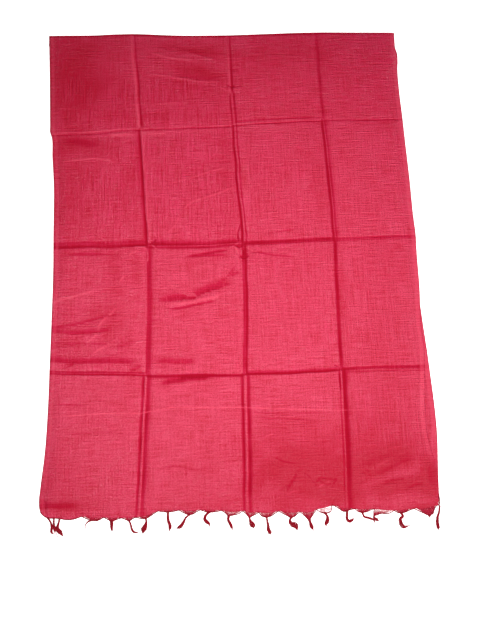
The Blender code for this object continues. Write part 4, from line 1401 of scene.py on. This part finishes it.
def cloth_finish(name):
    """Handloom silk: slubbed wefts, fainter warps, thread grain, selvedge lines, soft gloss, and
    painted shade and highlight along creases, wrinkles and the folded edge.
    """
    n = Nodes(name)
    at = n.attribute("thread_place", "Vector")
    # Sizes in mm: slubs are long across the cloth in a weft, and along it in a warp.
    wefts = n.noise(at, (1 / 42, 1 / 2.5, 1), 2, 0.65)
    warps = n.noise(at, (1 / 2.5, 1 / 65, 1), 2, 0.65)
    grain = n.noise(at, (1 / 2.5, 1 / 2.5, 1), 2, 0.65)
    cloudy = n.noise(at, (1 / 60, 1 / 80, 1), 3, 0.6)

    streaky, dye_and_shade = n.attribute("warped"), n.attribute("dye_and_shade")
    weft_share = n.ramp(streaky, 0, 1, 1.5, 1.3)
    warp_share = n.ramp(streaky, 0, 1, 1.05, 2.2)
    tone = (wefts - 0.5) * weft_share + (warps - 0.5) * warp_share
    tone = (tone + (grain - 0.5) * 1.8 + (cloudy - 0.5) * 0.4 + 0.55).clamped()
    colour = n.mix(tone, DEEP_CRIMSON, ROSE)
    # Darker patches are partly deeper dye and partly painted shade; paler ones are painted
    # highlight.
    colour = n.mix(n.ramp(dye_and_shade, 0.0, 1.0, 0.0, 0.75, kind="LINEAR"), colour, DYE_AND_SHADE_CRIMSON)
    colour = n.mix(n.ramp(dye_and_shade, 0.0, -1.0, 0.0, 0.5, kind="LINEAR"), colour, PALE_ROSE_AND_HIGHLIGHT)

    # Wrinkles are drawn by their share of a half width: a fold, and a groove beside it, painted
    # pale as highlight where the wrinkle rises and painted as shade where it sinks and in the
    # groove.
    share, strength, _ = n.split(n.attribute("wrinkle", "Vector"))
    fold = strength * math.e ** (abs(share) ** WRINKLE_POWER * -1.0)
    rim = strength * math.e ** (((share + 1.7) / 0.6) ** 2.0 * -1.0)
    gathered = (n.noise(at, (1 / 4.5, 1 / 26, 1), 2, 0.5) - 0.5) * n.attribute("gather")
    # Painted shade: troughs, hollows, gathers and the folded edge turn dark crimson, and ridges
    # turn pale as painted highlight; gloss fades and roughness rises in the painted shade.
    depth = n.attribute("painted_shading") - fold * 0.75 + rim * 0.35
    depth = depth * (gathered * 3.2 + 1.0)
    hidden = n.ramp(depth, 0.0, 2.0, 0.0, 0.99, kind="LINEAR")
    colour = n.mix(hidden, colour, SHADE_CRIMSON)
    colour = n.mix(n.ramp(depth, -0.15, -1.1, 0.0, 0.6), colour, PALE_ROSE_AND_HIGHLIGHT)

    # Pale lines along the two selvedges, and one broken weft.
    left, right, weft_line = n.split(n.attribute("line_distance", "Vector"))
    across, along, _ = n.split(at)
    pale = n.band(left, 7.5, 1.6, 2.0) * 0.35
    pale = pale.higher(n.band(right, 5.5, 2.8, 2.0) * n.ramp(along, -420, -340, 0.0, 0.5))
    broken = n.ramp(n.noise(at, (1 / 26, 0, 0), 1, 0.5), 0.30, 0.7, 0.35, 0.85)
    broken = broken * n.ramp(across, 150, 215, 1.0, 0.3)
    pale = pale.higher(n.band(weft_line, 0.0, 0.7, 1.1) * broken)
    colour = n.mix(pale, colour, PALE_ROSE_AND_HIGHLIGHT)

    gloss = n.ramp(tone, 0.0, 1.0, 0.45, 1.0) * n.ramp(hidden, 0.0, 0.45, 1.0, 0.03)
    gloss = (gloss * n.ramp(dye_and_shade, -0.4, 1.0, 1.2, 0.45)).clamped()
    rough = (n.ramp(tone, 0.0, 1.0, 0.60, 0.48) + hidden * 0.4).clamped()
    ribs = n.ribs(at, (0, 1, 0), "Y").higher(n.ribs(at, (1, 0, 0), "X"))
    height = wefts * weft_share + warps * warp_share + grain * 0.9
    height = height + ribs * 0.12 + gathered * 2.5 + fold * 0.25
    bump = n.bump(1.0, 0.0011, height)
    return n.shade({
        "Base Color": colour,
        "Roughness": rough,
        "Normal": bump,
        "Coat Weight": gloss,
        "Coat Normal": bump,
        "Coat Roughness": 0.34,
        "Specular IOR Level": 0.14,
        "Specular Tint": GLOSS_TINT,
        "Sheen Weight": 0.02,
        "Sheen Roughness": 0.4,
        "Sheen Tint": SHEEN_PINK,
    })


def thread_finish(name, dark, light, roughness):
    n = Nodes(name)
    at = n.position()
    blotch = n.noise(at, (420, 420, 420), 2, 0.6)
    fibre = n.noise(at, (2600, 2600, 2600), 2, 0.6)
    return n.shade({
        "Base Color": n.mix(n.ramp(blotch * 0.7 + fibre * 0.3, 0.32, 0.68), dark, light),
        "Roughness": n.ramp(fibre, 0.3, 0.7, roughness - 0.08, roughness + 0.08),
        "Normal": n.bump(0.5, 0.00012, fibre),
        "Specular IOR Level": 0.2,
        "Sheen Weight": 0.04,
        "Sheen Tint": SHEEN_PINK,
    })


def tassel_finishes(ending=""):
    """The dark twisted cord and the pale loose thread."""
    return [
        thread_finish("crimson_cord" + ending, CORD_DARK, CORD_LIGHT, 0.9),
        thread_finish("rose_thread" + ending, THREAD_DARK, THREAD_LIGHT, 0.75),
    ]


# ---------------------------------------------------------------- stage, light and camera
FLOOR_SIZE = 30.0
FLOOR_LEVEL = -0.0002
CAMERA_AZIMUTH = math.radians(7.4083)
CAMERA_ELEVATION = math.radians(74.9655)
CAMERA_ROLL = math.radians(5.3340)
CAMERA_TARGET = (6.616, -130.175)
CAMERA_DISTANCE = 1606.66
CAMERA_LENS = 47.8125


def make_floor():
    n = Nodes("floor_paper")
    mottle = n.noise(n.position(), (3, 3, 3), 3, 0.5)
    paper = n.shade({
        "Base Color": n.mix(mottle, (0.93, 0.93, 0.925, 1), (0.95, 0.95, 0.945, 1)),
        "Roughness": 0.9,
        "Emission Color": (1, 1, 1, 1),
        "Emission Strength": 0.8,
    })
    half = FLOOR_SIZE / 2
    corners = [(-half, -half, 0), (half, -half, 0), (half, half, 0), (-half, half, 0)]
    mesh = bpy.data.meshes.new("floor")
    mesh.from_pydata(corners, [], [(0, 1, 2, 3)])
    mesh.materials.append(paper)
    floor = bpy.data.objects.new("floor", mesh)
    floor.location.z = FLOOR_LEVEL
    bpy.context.scene.collection.objects.link(floor)


def area_light(name, location, target, size, power):
    data = bpy.data.lights.new(name, "AREA")
    data.shape = "DISK"
    data.size = size
    data.energy = power
    light = bpy.data.objects.new(name, data)
    light.location = location
    light.rotation_mode = "QUATERNION"
    aim = Vector(target) - Vector(location)
    light.rotation_quaternion = aim.to_track_quat("-Z", "Y")
    bpy.context.scene.collection.objects.link(light)


def make_lights():
    area_light("overhead", (0.01, -0.13, 1.12), (0.01, -0.13, 0), 0.3, 15.7)
    area_light("key", (1.9, -2.2, 1.6), (0, 0, 0), 0.4, 79)
    world = bpy.data.worlds.new("studio")
    world.use_nodes = True
    nodes, links = world.node_tree.nodes, world.node_tree.links
    lit, seen = nodes["Background"], nodes.new("ShaderNodeBackground")
    for background, strength in ((lit, 0.03), (seen, 0.83)):
        background.inputs["Color"].default_value = (1, 1, 1, 1)
        background.inputs["Strength"].default_value = strength
    mixed = nodes.new("ShaderNodeMixShader")
    links.new(nodes.new("ShaderNodeLightPath").outputs["Is Camera Ray"], mixed.inputs[0])
    links.new(lit.outputs[0], mixed.inputs[1])
    links.new(seen.outputs[0], mixed.inputs[2])
    links.new(mixed.outputs[0], nodes["World Output"].inputs[0])
    bpy.context.scene.world = world


def make_camera():
    a, e, roll = CAMERA_AZIMUTH, CAMERA_ELEVATION, CAMERA_ROLL
    forward = np.array((math.sin(a) * math.cos(e), math.cos(a) * math.cos(e), -math.sin(e)))
    level = np.array((math.cos(a), -math.sin(a), 0.0))
    raised = np.cross(level, forward)
    right = math.cos(roll) * level + math.sin(roll) * raised
    up = -math.sin(roll) * level + math.cos(roll) * raised
    target = np.array((CAMERA_TARGET[0] + SHIFT_X, CAMERA_TARGET[1] + SHIFT_Y, 0.0)) * MM
    location = target - forward * CAMERA_DISTANCE * MM
    data = bpy.data.cameras.new("camera")
    data.lens = CAMERA_LENS
    data.sensor_width = 36.0
    camera = bpy.data.objects.new("camera", data)
    rotation = np.column_stack((right, up, -forward, location))
    camera.matrix_world = Matrix(np.vstack((rotation, (0, 0, 0, 1))).tolist())
    bpy.context.scene.collection.objects.link(camera)
    bpy.context.scene.camera = camera


make_camera()
make_lights()
make_floor()
bpy.context.scene.view_settings.view_transform = "Standard"

front_cloth = make_front_cloth(cloth_finish("rose_silk"))
back_cloth = make_back_cloth(cloth_finish("rose_silk_under"))
front_tassels = make_front_tassels(tassel_finishes())
back_tassels = make_back_tassels(tassel_finishes("_under"))

for piece, node, slot in (
    (front_cloth, "front_half", "cloth_upper"),
    (back_cloth, "back_half", "cloth_lower"),
    (front_tassels, "front_fringe", "thread_front"),
    (back_tassels, "back_fringe", "thread_back"),
):
    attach(piece, "root")
    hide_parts(node)
